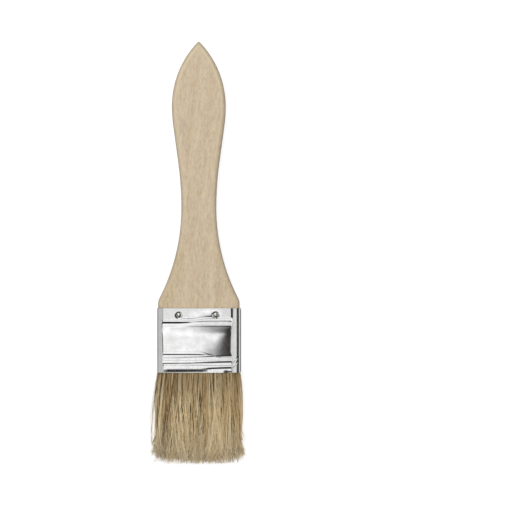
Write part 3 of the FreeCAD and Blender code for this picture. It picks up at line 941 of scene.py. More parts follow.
@dataclass
class Ferrule:
    """The pressed tinplate ferrule and its lock seam.

    Between two sloping rails each broad face is pressed in: a nail band at the top, a panel that
    falls away at its lower right, and beads and grooves towards the bristles. Rails, slack, crease,
    grooves and ribs are rows of points in millimetres.
    """

    finish: TinFinish
    left_edge: float = 20.85 * MM
    right_edge: float = 20.85 * MM
    left_corner: tuple[float, float, float] = (0.95 * MM, 0.3 * MM, 0.25)
    right_corner: tuple[float, float, float] = (1.7 * MM, 1.45 * MM, 0.39)
    rail_slope: float = 0.2157
    sheet: float = 0.35 * MM
    lower_trim: float = 0.5 * MM
    left_rail: tuple[tuple[float, float], ...] = (
        (0.0, 18.15), (6.0, 18.15), (8.5, 18.45), (11.0, 18.4), (16.0, 18.15), (20.0, 18.0),
        (24.0, 18.1), (28.0, 18.0), (30.0, 17.5), (33.0, 17.5),
    )
    left_wall: float = 0.4 * MM
    right_rail: tuple[tuple[float, float], ...] = (
        (0.0, 17.3), (6.0, 17.25), (8.0, 16.9), (11.0, 16.45), (22.0, 16.3), (23.5, 16.75),
        (33.0, 16.8),
    )
    right_wall: tuple[tuple[float, float], ...] = (
        (0.0, 1.2), (6.0, 1.1), (8.0, 0.5), (11.0, 0.28), (33.0, 0.3),
    )
    band_drop: float = 0.5 * MM
    band_end: float = 5.3 * MM
    band_shift: float = 0.9 * MM
    band_rise: float = 1.4 * MM
    band_turn: float = 4 * MM
    panel_top: float = 8.35 * MM
    panel_rise: tuple[float, float] = (0.7 * MM, 0.9 * MM)
    panel_end: float = 22.2 * MM
    panel_lag: float = 2.45 * MM
    lag_reach: float = 12 * MM
    panel_step: tuple[float, float] = (0.55 * MM, 0.25 * MM)
    panel_drop: float = 0.02 * MM
    slack: tuple[tuple[float, float], ...] = (
        (-18.0, 0.13), (-14.5, 0.13), (-10.25, 0.2), (-4.25, 0.155), (-1.25, 0.15), (1.75, 0.16),
        (4.75, 0.17), (7.75, 0.155), (10.75, 0.115), (15.5, 0.08),
    )
    slack_reach: float = 6.0 * MM
    slack_soft: float = 2 * MM
    crease: tuple[tuple[float, float], ...] = (
        (8.3, 18.0), (10.8, 16.8), (12.0, 15.0), (13.3, 13.2), (15.8, 11.5), (18.3, 10.2), (20.8, 9.1),
        (22.3, 8.1), (24.0, 7.6),
    )
    crease_soft: float = 1.5 * MM
    lean: tuple[float, float] = (0.056, 8.0 * MM)
    lean_onset: tuple[float, float] = (0.8 * MM, 4.6 * MM)
    buckle: tuple[float, float] = (0.05, 0.8 * MM)
    buckle_growth: float = 3.2 * MM
    buckle_reach: tuple[float, float] = (12 * MM, 24 * MM)
    seat_depths: tuple[float, float] = (0.14 * MM, 0.24 * MM)
    seam_half: float = 2.2 * MM
    seam_raise: float = 0.38 * MM
    seam_fold: float = 0.09 * MM
    seam_slit: float = 0.09 * MM
    seam_lap: float = 1.2 * MM
    seam_sway: float = 0.02 * MM
    seam_foot: float = 0.2 * MM
    seam_steps: int = 48
    corner_steps: int = 10
    column_spans: tuple[tuple[float, float, int], ...] = (
        (-18.55, -17.8, 11), (-17.8, -11.8, 14), (-11.8, -7.8, 20), (-7.8, 6.6, 34), (6.6, 10.6, 20),
        (10.6, 15.6, 12),
    )
    last_columns: tuple[float, float, int] = (15.6, 16.8, 17)
    columns_left: float = 18.55
    columns_width: float = 35.35
    row_spans: tuple[tuple[float, float, int], ...] = ((0.0, 9.2, 72), (9.2, 21.5, 30))
    last_rows: tuple[float, int] = (21.5, 88)
    lining_step: int = 8
    wall_shares: tuple[float, ...] = (0.0, 0.35, 0.7, 0.92)
    bend_shares: tuple[float, ...] = (0.8, 0.6, 0.4, 0.2, 0.0)
    rail_shares: tuple[float, ...] = (0.75, 0.5, 0.25, 0.08, 0.0)
    grooves: tuple[Groove, ...] = (
        Groove(
            (
                (-9.75, 6.2, 0.0), (-8.25, 6.15, 0.12), (-4.25, 6.1, 0.11), (-1.25, 5.75, 0.07),
                (1.75, 5.3, 0.07), (4.75, 4.9, 0.085), (7.25, 4.7, 0.1), (8.75, 4.65, 0.06),
                (10.25, 4.8, 0.0),
            ),
            0.85 * MM,
            0.34 * MM,
        ),
        Groove(
            ((-6.0, 5.2, 0.0), (-1.0, 5.3, 0.08), (4.0, 4.9, 0.14), (8.5, 4.7, 0.13), (12.0, 4.7, 0.0)),
            2.7 * MM,
            0.6 * MM,
        ),
        Groove(
            (
                (-9.25, 7.65, 0.3), (-6.25, 7.5, 0.21), (-3.75, 7.2, 0.11), (-1.25, 7.0, 0.09),
                (2.25, 6.9, 0.08), (6.75, 6.85, 0.075), (14.75, 6.9, 0.075), (17.75, 7.1, 0.11),
            ),
            0.7 * MM,
            0.8 * MM,
        ),
        Groove(
            ((-6.25, 23.35, 0.12), (0.75, 23.4, 0.1), (5.75, 23.5, 0.04), (8.75, 23.5, 0.0)),
            0.42 * MM,
            0.45 * MM,
        ),
        Groove(
            ((-15.0, 24.8, 0.03), (-9.25, 24.75, 0.04), (0.75, 24.45, 0.08), (7.75, 24.35, 0.15)),
            0.42 * MM,
            0.4 * MM,
        ),
        Groove(
            ((-18.0, 25.6, 0.03), (-9.0, 25.6, 0.02), (5.0, 25.6, 0.015), (16.0, 25.6, 0.03)),
            0.35 * MM,
            0.4 * MM,
        ),
        Groove(
            (
                (-19.25, 27.85, 0.072), (-9.25, 27.8, 0.055), (-2.25, 27.65, 0.055), (3.75, 27.4, 0.08),
                (8.75, 27.26, 0.14), (17.75, 27.11, 0.22),
            ),
            0.48 * MM,
            0.8 * MM,
        ),
        Groove(((-19.25, 28.75, 0.06), (-9.25, 28.75, 0.05), (17.75, 28.7, 0.06)), 0.35 * MM, 0.4 * MM),
        Groove(
            ((1.0, 30.5, 0.0), (4.0, 30.5, 0.025), (6.5, 30.4, 0.12), (13.75, 30.15, 0.25)),
            0.55 * MM,
            0.6 * MM,
        ),
        Groove(
            (
                (-18.0, 32.2, 0.05), (-15.25, 32.2, 0.18), (1.75, 32.1, 0.17), (4.75, 31.9, 0.15),
                (7.25, 31.8, 0.03), (12.6, 32.1, 0.0), (14.0, 32.1, 0.12), (14.75, 32.2, 0.2),
            ),
            1.35 * MM,
            3.0 * MM,
        ),
    )
    ribs: tuple[Groove, ...] = (
        Groove(((16.9, 26.9, 0.03), (19.4, 24.7, 0.04), (20.4, 23.8, 0.0)), 0.35 * MM, 0.45 * MM),
        Groove(((16.9, 29.4, 0.03), (19.4, 26.9, 0.04), (20.4, 26.0, 0.0)), 0.35 * MM, 0.45 * MM),
        Groove(((16.9, 7.4, 0.015), (19.4, 8.2, 0.01), (20.4, 8.4, 0.0)), 0.35 * MM, 0.45 * MM),
        Groove(
            ((-20.6, 25.3, 0.0), (-19.6, 25.2, 0.03), (-18.1, 25.0, 0.04), (-17.0, 25.0, 0.0)),
            0.3 * MM,
            0.4 * MM,
        ),
        Groove(
            ((-20.6, 6.5, 0.0), (-19.6, 6.5, 0.008), (-18.1, 6.5, 0.012), (-17.0, 6.5, 0.0)),
            0.3 * MM,
            0.4 * MM,
        ),
    )

    def seats(self, face: Face) -> list[NailSeat]:
        """Finds the seats of one face's nails, where the model has the nails.

        Args:
            face: Which face it is.

        Returns:
            The seats.
        """
        upper_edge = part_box("ferrule")[1].y
        seats = []
        for side, depth in zip(("left", "right"), self.seat_depths):
            low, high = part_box(f"nail_{face.value}_{side}")
            seats.append(NailSeat((low.x + high.x) / 2, upper_edge - (low.y + high.y) / 2, depth))
        return seats

    @staticmethod
    def course(values: np.ndarray, points: tuple[tuple[float, float], ...], soft: float = 0.0) -> np.ndarray:
        """Reads a row of points in millimetres, with lines between them whose turns are softened."""
        places, levels = (np.array(column) * MM for column in zip(*points))
        return sum(np.interp(values + shift, places, levels) for shift in np.linspace(-soft, soft, 7)) / 7

    def pressed(self, across: np.ndarray, along: np.ndarray, face: Face) -> np.ndarray:
        """How far a face of the ferrule stands above its plain section.

        Args:
            across: Distance across the brush.
            along: Distance below the ferrule's upper edge.
            face: Which face it is.

        Returns:
            The rise, which is mostly a drop.
        """
        left, right = self.course(along, self.left_rail), self.course(along, self.right_rail)
        inside = np.clip((across + left) / self.left_wall, 0, 1)
        inside *= np.clip((right - across) / self.course(along, self.right_wall), 0, 1)
        level = along + self.band_shift * ease(across, -self.band_turn, self.band_turn)
        relief = -self.band_drop * (1 - ease(level, self.band_end, self.band_end + self.band_rise))
        relief += self.slackened(across, along)
        for feature in (*self.grooves, *self.seats(face)):
            relief += feature.relief(across, along)
        return relief * inside + sum(rib.relief(across, along) for rib in self.ribs) * (1 - inside)

    def slackened(self, across: np.ndarray, along: np.ndarray) -> np.ndarray:
        """The panel, which sags below the upper bead and falls away towards its lower right.

        Args:
            across: Distance across the brush.
            along: Distance below the ferrule's upper edge.

        Returns:
            The panel's rise, which is a drop.
        """
        shift = ease(across, 0.0, self.lag_reach)
        end = self.panel_end + self.panel_lag * shift
        soft = self.panel_step[0] + (self.panel_step[1] - self.panel_step[0]) * shift
        panel = ease(along, self.panel_top - self.panel_rise[0], self.panel_top + self.panel_rise[1])
        panel *= 1 - ease(along, end - soft, end + soft)
        left = 1 - np.clip((along - self.panel_top) / self.slack_reach, 0, 1)
        drop = self.panel_drop + self.course(across, self.slack, self.slack_soft) * (1 - left**2)
        beyond = across - self.course(along, self.crease, self.crease_soft)
        share = ease(along, self.panel_top - self.lean_onset[0], self.panel_top + self.lean_onset[1])
        widened = self.buckle[1] + self.buckle_growth * ease(along, *self.buckle_reach)
        for slope, soft in ((self.lean[0] * share, self.lean[1]), (self.buckle[0], widened)):
            drop += slope * soft * np.log1p(np.exp(np.clip(beyond / soft, -30, 30)))
        return -drop * panel

    def side(
        self, edge: float, corner: tuple[float, float, float], start: float, half_depth: float
    ) -> list[tuple[float, float]]:
        """Plain section of one side, from the middle of its wall round the corner to the pressing.

        Args:
            edge: Distance of the wall from the axis.
            corner: The corner's radius, then the length and the slope of the easier bend before it.
            start: Distance from the axis where the rail begins.
            half_depth: Half of the ferrule's depth.

        Returns:
            Distances from the axis and heights above the middle.
        """
        radius, bend, steep = corner
        tilt = math.atan(steep)
        centre_x = edge - radius
        reach = centre_x + radius * math.sin(tilt)
        foot = reach - bend
        level = half_depth - (foot - start) * self.rail_slope
        brink = level - bend * (self.rail_slope + steep) / 2
        centre_z = brink - radius * math.cos(tilt)
        points = [(edge, centre_z * share) for share in self.wall_shares]
        for step in range(self.corner_steps + 1):
            turn = (math.pi / 2 - tilt) * step / self.corner_steps
            points.append((centre_x + radius * math.cos(turn), centre_z + radius * math.sin(turn)))
        for share in self.bend_shares:
            drop = self.rail_slope * share + (steep - self.rail_slope) * share**2 / 2
            points.append((foot + bend * share, level - bend * drop))
        for share in self.rail_shares:
            run = (foot - start) * share
            points.append((start + run, half_depth - run * self.rail_slope))
        return points

    def columns(self) -> np.ndarray:
        """Works out where the pressing is read, closest together at its walls and nails.

        Returns:
            Shares of its width, from its left at 0 to its right at 1.
        """
        steps = [np.linspace(first, last, count, endpoint=False) for first, last, count in self.column_spans]
        steps.append(np.linspace(*self.last_columns))
        return (np.concatenate(steps) + self.columns_left) / self.columns_width

    def rows(self, height: float) -> np.ndarray:
        """Works out the rows of the ferrule, close together where the sheet is worked.

        Args:
            height: The ferrule's length along the brush.

        Returns:
            Distances below the upper edge.
        """
        lowest, count = self.last_rows
        spans = (*self.row_spans, (lowest, height / MM, count))
        steps = [np.linspace(first, last, count, endpoint=False) for first, last, count in spans]
        return np.append(np.concatenate(steps), height / MM) * MM

    def outer(self, upper_edge: float, height: float, half_depth: float, middle: float) -> np.ndarray:
        """Works out the outer surface.

        Args:
            upper_edge: The ferrule's upper edge, along Y.
            height: Its length along the brush.
            half_depth: Half of its depth.
            middle: The brush's mid height.

        Returns:
            Points by row and by place round the ferrule.
        """
        along = self.rows(height)
        lines = []
        for first, last in zip(self.course(along, self.left_rail), self.course(along, self.right_rail)):
            left = self.side(self.left_edge, self.left_corner, float(first), half_depth)
            left = [(-x, z) for x, z in left[::-1]]
            right = self.side(self.right_edge, self.right_corner, float(last), half_depth)
            inner = self.columns()[::-1][1:-1] * (last + first) - first
            lines.append(right + [(x, half_depth) for x in inner] + left)
        face = np.array(lines)
        x, z = face[..., 0], face[..., 1]
        v = np.repeat(along[:, None], x.shape[1], 1)
        front = z + self.pressed(x, v, Face.FRONT)
        back = -z - self.pressed(x, v, Face.BACK)
        across = np.concatenate([x, x[:, -2:0:-1]], 1)
        up = np.concatenate([front, back[:, -2:0:-1]], 1)
        return np.stack([across, upper_edge - np.repeat(along[:, None], across.shape[1], 1), middle + up], -1)

    def shell(self, upper_edge: float, height: float, half_depth: float, middle: float) -> bpy.types.Mesh:
        """Builds the ferrule's wall, outside and inside.

        Args:
            upper_edge: The ferrule's upper edge, along Y.
            height: Its length along the brush.
            half_depth: Half of its depth.
            middle: The brush's mid height.

        Returns:
            The mesh.
        """
        outer = self.outer(upper_edge, height, half_depth, middle)
        around = np.roll(outer, -1, 1) - np.roll(outer, 1, 1)
        normal = np.cross(around, np.gradient(outer, axis=0))
        normal /= np.linalg.norm(normal, axis=2, keepdims=True)
        outwards = np.sign((normal[..., 2] * (outer[..., 2] - middle) + normal[..., 0] * outer[..., 0]).sum())
        chosen = np.unique(np.append(np.arange(0, len(outer), self.lining_step), len(outer) - 1))
        inner = (outer - outwards * normal * self.sheet)[chosen]
        inner[0, :, 1], inner[-1, :, 1] = outer[0, :, 1], outer[-1, :, 1]
        lines, columns = outer.shape[:2]
        wall = tube_faces(lines, columns)
        lining = tube_faces(len(chosen), columns)[:, ::-1] + lines * columns
        edge = np.arange(columns)
        ahead = (edge + 1) % columns
        upper_shift, last = lines * columns, (lines - 1) * columns
        lower_shift = upper_shift + (len(chosen) - 1) * columns
        upper = np.stack((edge, edge + upper_shift, ahead + upper_shift, ahead), -1)
        lower = np.stack((last + edge, last + ahead, ahead + lower_shift, edge + lower_shift), -1)
        points = np.concatenate([outer.reshape(-1, 3), inner.reshape(-1, 3)])
        return grid_mesh("ferrule_shell", points, np.concatenate([wall, lining, upper, lower]))

    def seam(self, upper_edge: float, height: float, middle: float) -> bpy.types.Mesh:
        """Builds the flattened lock seam that stands out of the right-hand side.

        Args:
            upper_edge: The ferrule's upper edge, along Y.
            height: Its length along the brush.
            middle: The brush's mid height.

        Returns:
            The mesh.
        """
        half, rise, fold, slit = self.seam_half, self.seam_raise, self.seam_fold, self.seam_slit
        lip, bends = half - self.seam_lap, [(math.sin(turn), math.cos(turn)) for turn in (0.5, 1.0, 1.57)]
        profile = [(-self.seam_foot, -half), (rise - fold, -half)]
        profile += [(rise - fold + fold * sine, -half + fold - fold * cosine) for sine, cosine in bends]
        profile += [(rise, lip - 2 * slit), (rise - slit, lip - slit), (rise - 2.4 * slit, lip)]
        profile += [(rise - slit, lip + slit), (rise, lip + 2 * slit)]
        bends = [(math.sin(turn), math.cos(turn)) for turn in (0.0, 0.5, 1.0)]
        profile += [(rise - fold + fold * cosine, half - fold + fold * sine) for sine, cosine in bends]
        profile += [(rise - fold, half), (-self.seam_foot, half)]
        steps = np.linspace(0, height, self.seam_steps)
        rows = []
        for step, sway in zip(steps, self.seam_sway * np.sin(steps / height * 9.0)):
            level = middle + sway
            rows += [(self.right_edge + out, upper_edge - step, level + along) for out, along in profile]
        mesh = grid_mesh("lock_seam", np.array(rows), tube_faces(len(steps), len(profile)))
        weld_and_close(mesh)
        return mesh

    def build(self, effects: Effects) -> None:
        """Makes the ferrule's wall and its seam.

        Args:
            effects: The shared effects.
        """
        low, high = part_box("ferrule")
        middle, height = (low.z + high.z) / 2, high.y - low.y - self.lower_trim
        material = self.finish.material(effects)
        shell = self.shell(high.y, height, (high.z - low.z) / 2, middle)
        wall = made_piece(shell, "ferrule_shell", material)
        made_piece(self.seam(high.y, height, middle), "lock_seam", material)
        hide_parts("ferrule")


@dataclass
class Plug:
    """The resin poured between the tang and the bristles, which fills the pressed ferrule."""

    finish: ResinFinish
    half_width: float = 19.0 * MM
    half_depth: float = 3.7 * MM
    corner: float = 2.6 * MM
    steps: int = 6
    levels: int = 5

    def build(self, effects: Effects) -> None:
        """Makes the plug.

        Args:
            effects: The shared effects.
        """
        low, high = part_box("resin_plug")
        middle, corner = (low.z + high.z) / 2, self.corner
        centre_x, centre_z = self.half_width - corner, self.half_depth - corner
        ring = []
        for across, up, first in ((1, 1, 0.0), (-1, 1, 0.5), (-1, -1, 1.0), (1, -1, 1.5)):
            for step in range(self.steps + 1):
                turn = math.pi * (first + 0.5 * step / self.steps)
                x, z = across * centre_x + corner * math.cos(turn), up * centre_z + corner * math.sin(turn)
                ring.append((x, z))
        levels = np.linspace(high.y, low.y, self.levels)
        points = [(x, level, middle + z) for level in levels for x, z in ring]
        mesh = grid_mesh("resin_fill", np.array(points), tube_faces(len(levels), len(ring)))
        weld_and_close(mesh)
        piece = made_piece(mesh, "resin_fill", self.finish.material(effects))
        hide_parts("resin_plug")


@dataclass
class HairTree:
    """Geometry Nodes that grow a bank of tapered, clumped hairs out of the ferrule's mouth."""

    name: str = "grow_hairs"
    sides: int = 3
    edge_depth: tuple[float, float, float, float] = (0.78, 1.0, 1.0, 0.6)
    gather_start: float = 0.3
    thin_start: float = 0.3
    swing_turn: tuple[float, float] = (2.6, 1.6)
    drift_power: float = 1.4
    hold_power: float = 4.0
    cut_power: float = 9.0
    flick_power: float = 12.0
    flick_scale: float = 9000.0
    deep_sway: float = 0.6
    tuft_shade: float = 0.6
    own_shade: float = 0.4
    darkest: tuple[float, float] = (0.01, 0.05)
    taper: tuple[float, float, float, float] = (0.8, 1.0, 1.0, 0.6)
    sockets: dict[str, str] = field(default_factory=dict)
    tree: bpy.types.NodeTree | None = None

    INPUTS = (
        ("Count", "Int"), ("Seed", "Int"), ("Across", "Float"), ("Half Width", "Float"),
        ("Low", "Float"), ("High", "Float"), ("Root", "Float"), ("Middle", "Float"),
        ("Reach", "Float"), ("Corner Cut", "Float"), ("Spread", "Float"), ("Thinning", "Float"),
        ("Jag", "Float"), ("Belly Fan", "Float"), ("Tip Fan", "Float"), ("Tip Thin", "Float"),
        ("Clump", "Float"), ("Pull", "Float"), ("Bend", "Float"), ("Stray", "Float"),
        ("Tuft Stray", "Float"), ("Lean", "Float"), ("Flick", "Float"), ("Radius", "Float"),
        ("Points", "Int"), ("Finish", "Material"),
    )

    def build(self) -> None:
        """Builds the tree, with named inputs for every size."""
        tree = bpy.data.node_groups.new(self.name, "GeometryNodeTree")
        tree.interface.new_socket("Geometry", in_out="INPUT", socket_type="NodeSocketGeometry")
        for label, kind in self.INPUTS:
            self.sockets[label] = tree.interface.new_socket(
                label, in_out="INPUT", socket_type=f"NodeSocket{kind}"
            ).identifier
        tree.interface.new_socket("Geometry", in_out="OUTPUT", socket_type="NodeSocketGeometry")
        wiring = Wiring(tree)
        given = wiring.add("NodeGroupInput").outputs
        roots = self.rooted(wiring, given)
        strands = self.drawn(wiring, given, roots)
        solid = self.thickened(wiring, given, strands)
        solid = wiring.out("GeometryNodeRealizeInstances", {0: solid})
        solid = wiring.out("GeometryNodeSetMaterial", {0: solid, "Material": given["Finish"]})
        wiring.add("NodeGroupOutput", {0: solid})
        self.tree = tree

    @staticmethod
    def chance(wiring: Wiring, seed: Socket, step: int, low: float = 0.0) -> Socket:
        """A random vector for each hair.

        Args:
            wiring: The tree's wiring.
            seed: The bank's seed.
            step: Number of this draw.
            low: Least value; the greatest is 1.

        Returns:
            The vector.
        """
        number = wiring.times_plus(seed, SEED_STEP, float(step))
        feeds = {"Min": (low,) * 3, "Max": (1.0,) * 3, "Seed": number}
        return wiring.out("FunctionNodeRandomValue", feeds, data_type="FLOAT_VECTOR")

    @staticmethod
    def stored(
        wiring: Wiring, geometry: Socket, name: str, value: Socket, kind: str = "FLOAT_VECTOR"
    ) -> Socket:
        """Keeps a value with each point under a name."""
        feeds = {0: geometry, "Name": name, "Value": value}
        return wiring.out("GeometryNodeStoreNamedAttribute", feeds, data_type=kind, domain="POINT")

    @staticmethod
    def kept(wiring: Wiring, name: str) -> Socket:
        """Reads a vector that was kept under a name."""
        node = wiring.add("GeometryNodeInputNamedAttribute", {"Name": name}, data_type="FLOAT_VECTOR")
        return wiring.socket(node.outputs, "Attribute")

    def rooted(self, wiring: Wiring, given: Sequence[Socket]) -> Socket:
        """Scatters the hairs' roots over the mouth and draws each hair's luck.

        Args:
            wiring: The tree's wiring.
            given: The tree's inputs.

        Returns:
            The roots.
        """
        chance = self.chance(wiring, given["Seed"], 1, -1.0)
        x, y, z = wiring.axes(chance)
        across = wiring.times_plus(x, given["Half Width"], given["Across"])
        share = wiring.times_plus(z, 0.5, 0.5)
        height = wiring.level(share, given["Low"], given["High"])
        height = wiring.times(height, wiring.remap(wiring.maths("ABSOLUTE", x), *self.edge_depth))
        points = wiring.out("GeometryNodePoints", {"Count": given["Count"]})
        points = self.stored(wiring, points, "root", wiring.joined(across, 0.0, height))
        points = self.stored(wiring, points, "luck", self.chance(wiring, given["Seed"], 2))
        return self.stored(wiring, points, "fate", self.chance(wiring, given["Seed"], 3))

    def drawn(self, wiring: Wiring, given: Sequence[Socket], points: Socket) -> Socket:
        """Draws a curve from each root to its end.

        Args:
            wiring: The tree's wiring.
            given: The tree's inputs.
            points: The roots.

        Returns:
            The curves, with their shade and run kept.
        """
        line = wiring.out("GeometryNodeCurvePrimitiveLine")
        line = wiring.out("GeometryNodeResampleCurve", {0: line, "Count": given["Points"]})
        placed = wiring.out("GeometryNodeInstanceOnPoints", {"Points": points, "Instance": line})
        curves = wiring.out("GeometryNodeRealizeInstances", {0: placed})
        run = wiring.add("GeometryNodeSplineParameter").outputs["Factor"]
        root, luck, fate = (self.kept(wiring, name) for name in ("root", "luck", "fate"))
        root_x, _, root_z = wiring.axes(root)
        luck_x, luck_y, luck_z = wiring.axes(luck)
        fate_x, fate_y, fate_z = wiring.axes(fate)

        scale = wiring.maths("DIVIDE", 1.0, given["Clump"])
        cells = wiring.add("ShaderNodeTexVoronoi", {"Vector": root, "Scale": scale})
        tuft_x, _, tuft_z = wiring.axes(cells.outputs["Position"])
        tuft_shade, tuft_reach, tuft_sway = wiring.axes(cells.outputs["Color"])

        gather = wiring.times(wiring.remap(run, 0.0, 1.0, self.gather_start, 1.0), given["Pull"])
        gather = wiring.times(gather, wiring.maths("SQRT", luck_x))
        start_x = wiring.level(gather, root_x, tuft_x)
        start_z = wiring.level(gather, root_z, tuft_z)
        square = wiring.times(run, run)
        belly, tip = given["Belly Fan"], given["Tip Fan"]
        linear = wiring.minus(wiring.times(belly, 4.0), tip)
        second = wiring.minus(wiring.times(tip, 2.0), wiring.times(belly, 4.0))
        fan = wiring.times_plus(linear, run, wiring.times_plus(second, square, 1.0))
        thin = wiring.level(wiring.remap(run, self.thin_start, 1.0), 1.0, given["Tip Thin"])

        swing = wiring.maths("SINE", wiring.times(run, wiring.times_plus(luck_z, *self.swing_turn)))
        swing = wiring.times(swing, given["Bend"])
        sway_x = wiring.times(swing, wiring.signed(luck_y))
        odd = wiring.signed(fate_y)
        single = wiring.times(given["Stray"], wiring.times(odd, odd, odd))
        tufted = wiring.times(given["Tuft Stray"], wiring.signed(tuft_sway))
        free, side = wiring.plus(single, tufted), wiring.maths("SIGN", root_x)
        edge = wiring.maths("ABSOLUTE", wiring.maths("DIVIDE", root_x, given["Half Width"]))
        edge = wiring.maths("MINIMUM", edge, 1.0)
        outward = wiring.maths("MAXIMUM", wiring.times(free, side), 0.0)
        held = wiring.times(wiring.times(outward, side), wiring.maths("POWER", edge, self.hold_power))
        drift = wiring.plus(wiring.minus(free, held), given["Lean"])
        sway_x = wiring.times_plus(wiring.maths("POWER", run, self.drift_power), drift, sway_x)
        turn = wiring.times_plus(fate_x, 2.0, wiring.maths("SINE", wiring.times(tuft_x, self.flick_scale)))
        turn = wiring.times(wiring.minus(turn, 1.0), given["Flick"])
        sway_x = wiring.times_plus(wiring.maths("POWER", run, self.flick_power), turn, sway_x)
        sway_z = wiring.times(swing, wiring.signed(fate_x))
        x = wiring.times_plus(start_x, fan, sway_x)
        z = wiring.times_plus(start_z, thin, wiring.times(sway_z, self.deep_sway))

        cut = wiring.times(wiring.maths("POWER", edge, self.cut_power), given["Corner Cut"])
        past = wiring.maths("LOGARITHM", wiring.maths("MAXIMUM", fate_z, 0.0001), math.e)
        past = wiring.times_plus(past, given["Thinning"], given["Spread"])
        past = wiring.times_plus(wiring.minus(tuft_reach, 0.5), given["Jag"], past)
        cut = wiring.plus(wiring.maths("MAXIMUM", past, 0.0), cut)
        length = wiring.minus(given["Reach"], cut)
        y = wiring.minus(given["Root"], wiring.times(run, length))
        place = wiring.joined(x, y, wiring.plus(z, given["Middle"]))
        curves = wiring.out("GeometryNodeSetPosition", {0: curves, "Position": place})
        shade = wiring.times_plus(tuft_shade, self.tuft_shade, wiring.times(luck_y, self.own_shade))
        shade = wiring.times(shade, wiring.remap(fate_x, *self.darkest))
        curves = self.stored(wiring, curves, "shade", shade, "FLOAT")
        return self.stored(wiring, curves, "run", run, "FLOAT")

    def thickened(self, wiring: Wiring, given: Sequence[Socket], curves: Socket) -> Socket:
        """Gives the hairs their section and their taper.

        Args:
            wiring: The tree's wiring.
            given: The tree's inputs.
            curves: The hairs' curves.

        Returns:
            The mesh.
        """
        run = wiring.add("GeometryNodeSplineParameter").outputs["Factor"]
        radius = wiring.times(given["Radius"], wiring.remap(run, *self.taper))
        section = wiring.out("GeometryNodeCurvePrimitiveCircle", {"Resolution": self.sides, "Radius": 1.0})
        feeds = {"Curve": curves, "Profile Curve": section, "Scale": radius, "Fill Caps": True}
        mesh = wiring.out("GeometryNodeCurveToMesh", feeds)
        return wiring.out("GeometryNodeSetShadeSmooth", {0: mesh})

    def grown(self, name: str, values: dict[str, object]) -> bpy.types.Mesh:
        """Runs the tree and keeps its result as a plain mesh.

        Args:
            name: Name of the mesh.
            values: Value of each named input.

        Returns:
            The mesh.
        """
        carrier = bpy.data.objects.new(f"{name}_carrier", bpy.data.meshes.new(f"{name}_seed"))
        bpy.context.scene.collection.objects.link(carrier)
        modifier = carrier.modifiers.new("grow", "NODES")
        modifier.node_group = self.tree
        for label, value in values.items():
            modifier[self.sockets[label]] = value
        depsgraph = bpy.context.evaluated_depsgraph_get()
        mesh = bpy.data.meshes.new_from_object(
            carrier.evaluated_get(depsgraph), preserve_all_data_layers=True, depsgraph=depsgraph
        )
        mesh.name = name
        for attribute in ("root", "luck", "fate"):
            if attribute in mesh.attributes:
                mesh.attributes.remove(mesh.attributes[attribute])
        carrier.modifiers.remove(modifier)
        bpy.data.objects.remove(carrier)
        return mesh


@dataclass
class Tuft:
    """The bristles: a front and a back bank of single hairs, and a few loose ones at the left."""

    finish: BristleFinish
    seeds: tuple[int, int] = (11, 23)
    half_depth: float = 4.7 * MM
    parting: float = 0.1 * MM
    sink: float = 3.0 * MM
    count: int = 3500
    points: int = 9
    across: float = 0.0
    half_width: float = 20.3 * MM
    corner_cut: float = 8.4 * MM
    spread: float = 5.2 * MM
    thinning: float = 1.3 * MM
    jag: float = 5.0 * MM
    belly_fan: float = 0.078
    tip_fan: float = -0.02
    tip_thin: float = 0.74
    clump: float = 0.75 * MM
    pull: float = 0.85
    bend: float = 0.5 * MM
    stray: float = 3.6 * MM
    tuft_stray: float = 8.5 * MM
    lean: float = 0.0
    flick: float = 2.2 * MM
    radius: float = 0.135 * MM
    loose: dict[str, float] = field(
        default_factory=lambda: {
            "Count": 5,
            "Seed": 8,
            "Across": -19.6 * MM,
            "Half Width": 0.5 * MM,
            "Low": 2.6 * MM,
            "High": 4.3 * MM,
            "Lean": -4.6 * MM,
            "Flick": 0.0,
            "Tuft Stray": 0.0,
            "Stray": 1.6 * MM,
            "Corner Cut": 0.0,
            "Spread": 8.5 * MM,
            "Thinning": 0.0,
            "Jag": 5.0 * MM,
            "Bend": 0.8 * MM,
            "Radius": 0.12 * MM,
        }
    )

    def sizes(self) -> dict[str, float]:
        """Values of the tree's inputs that this class has as fields, by the inputs' names."""
        names = {label: label.lower().replace(" ", "_") for label, _ in HairTree.INPUTS if label != "Finish"}
        return {label: getattr(self, name) for label, name in names.items() if hasattr(self, name)}

    def build(self, effects: Effects) -> None:
        """Grows the hairs.

        Args:
            effects: The shared effects.
        """
        tree = HairTree()
        tree.build()
        material = self.finish.material(effects)
        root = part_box("ferrule")[0].y + self.sink
        low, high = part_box("bristles_back")[0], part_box("bristles_front")[1]
        shared = {**self.sizes(), "Root": root, "Middle": (low.z + high.z) / 2, "Reach": root - low.y}
        shared["Finish"] = material
        banks = ((Face.FRONT, self.parting, self.half_depth), (Face.BACK, -self.half_depth, -self.parting))
        for (face, first, last), seed in zip(banks, self.seeds):
            mesh = tree.grown(f"hairs_{face.value}", {**shared, "Seed": seed, "Low": first, "High": last})
            piece = made_piece(mesh, f"hairs_{face.value}", material)
            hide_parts(f"bristles_{face.value}")
        made_piece(tree.grown("hairs_stray", {**shared, **self.loose}), "hairs_stray", material)


@dataclass(frozen=True)
class Card:
    """A soft-edged card that the metal mirrors; its edges are a window's low, high and softness."""

    colour: Colour
    across: tuple[float, float, float]
    along: tuple[float, float, float]


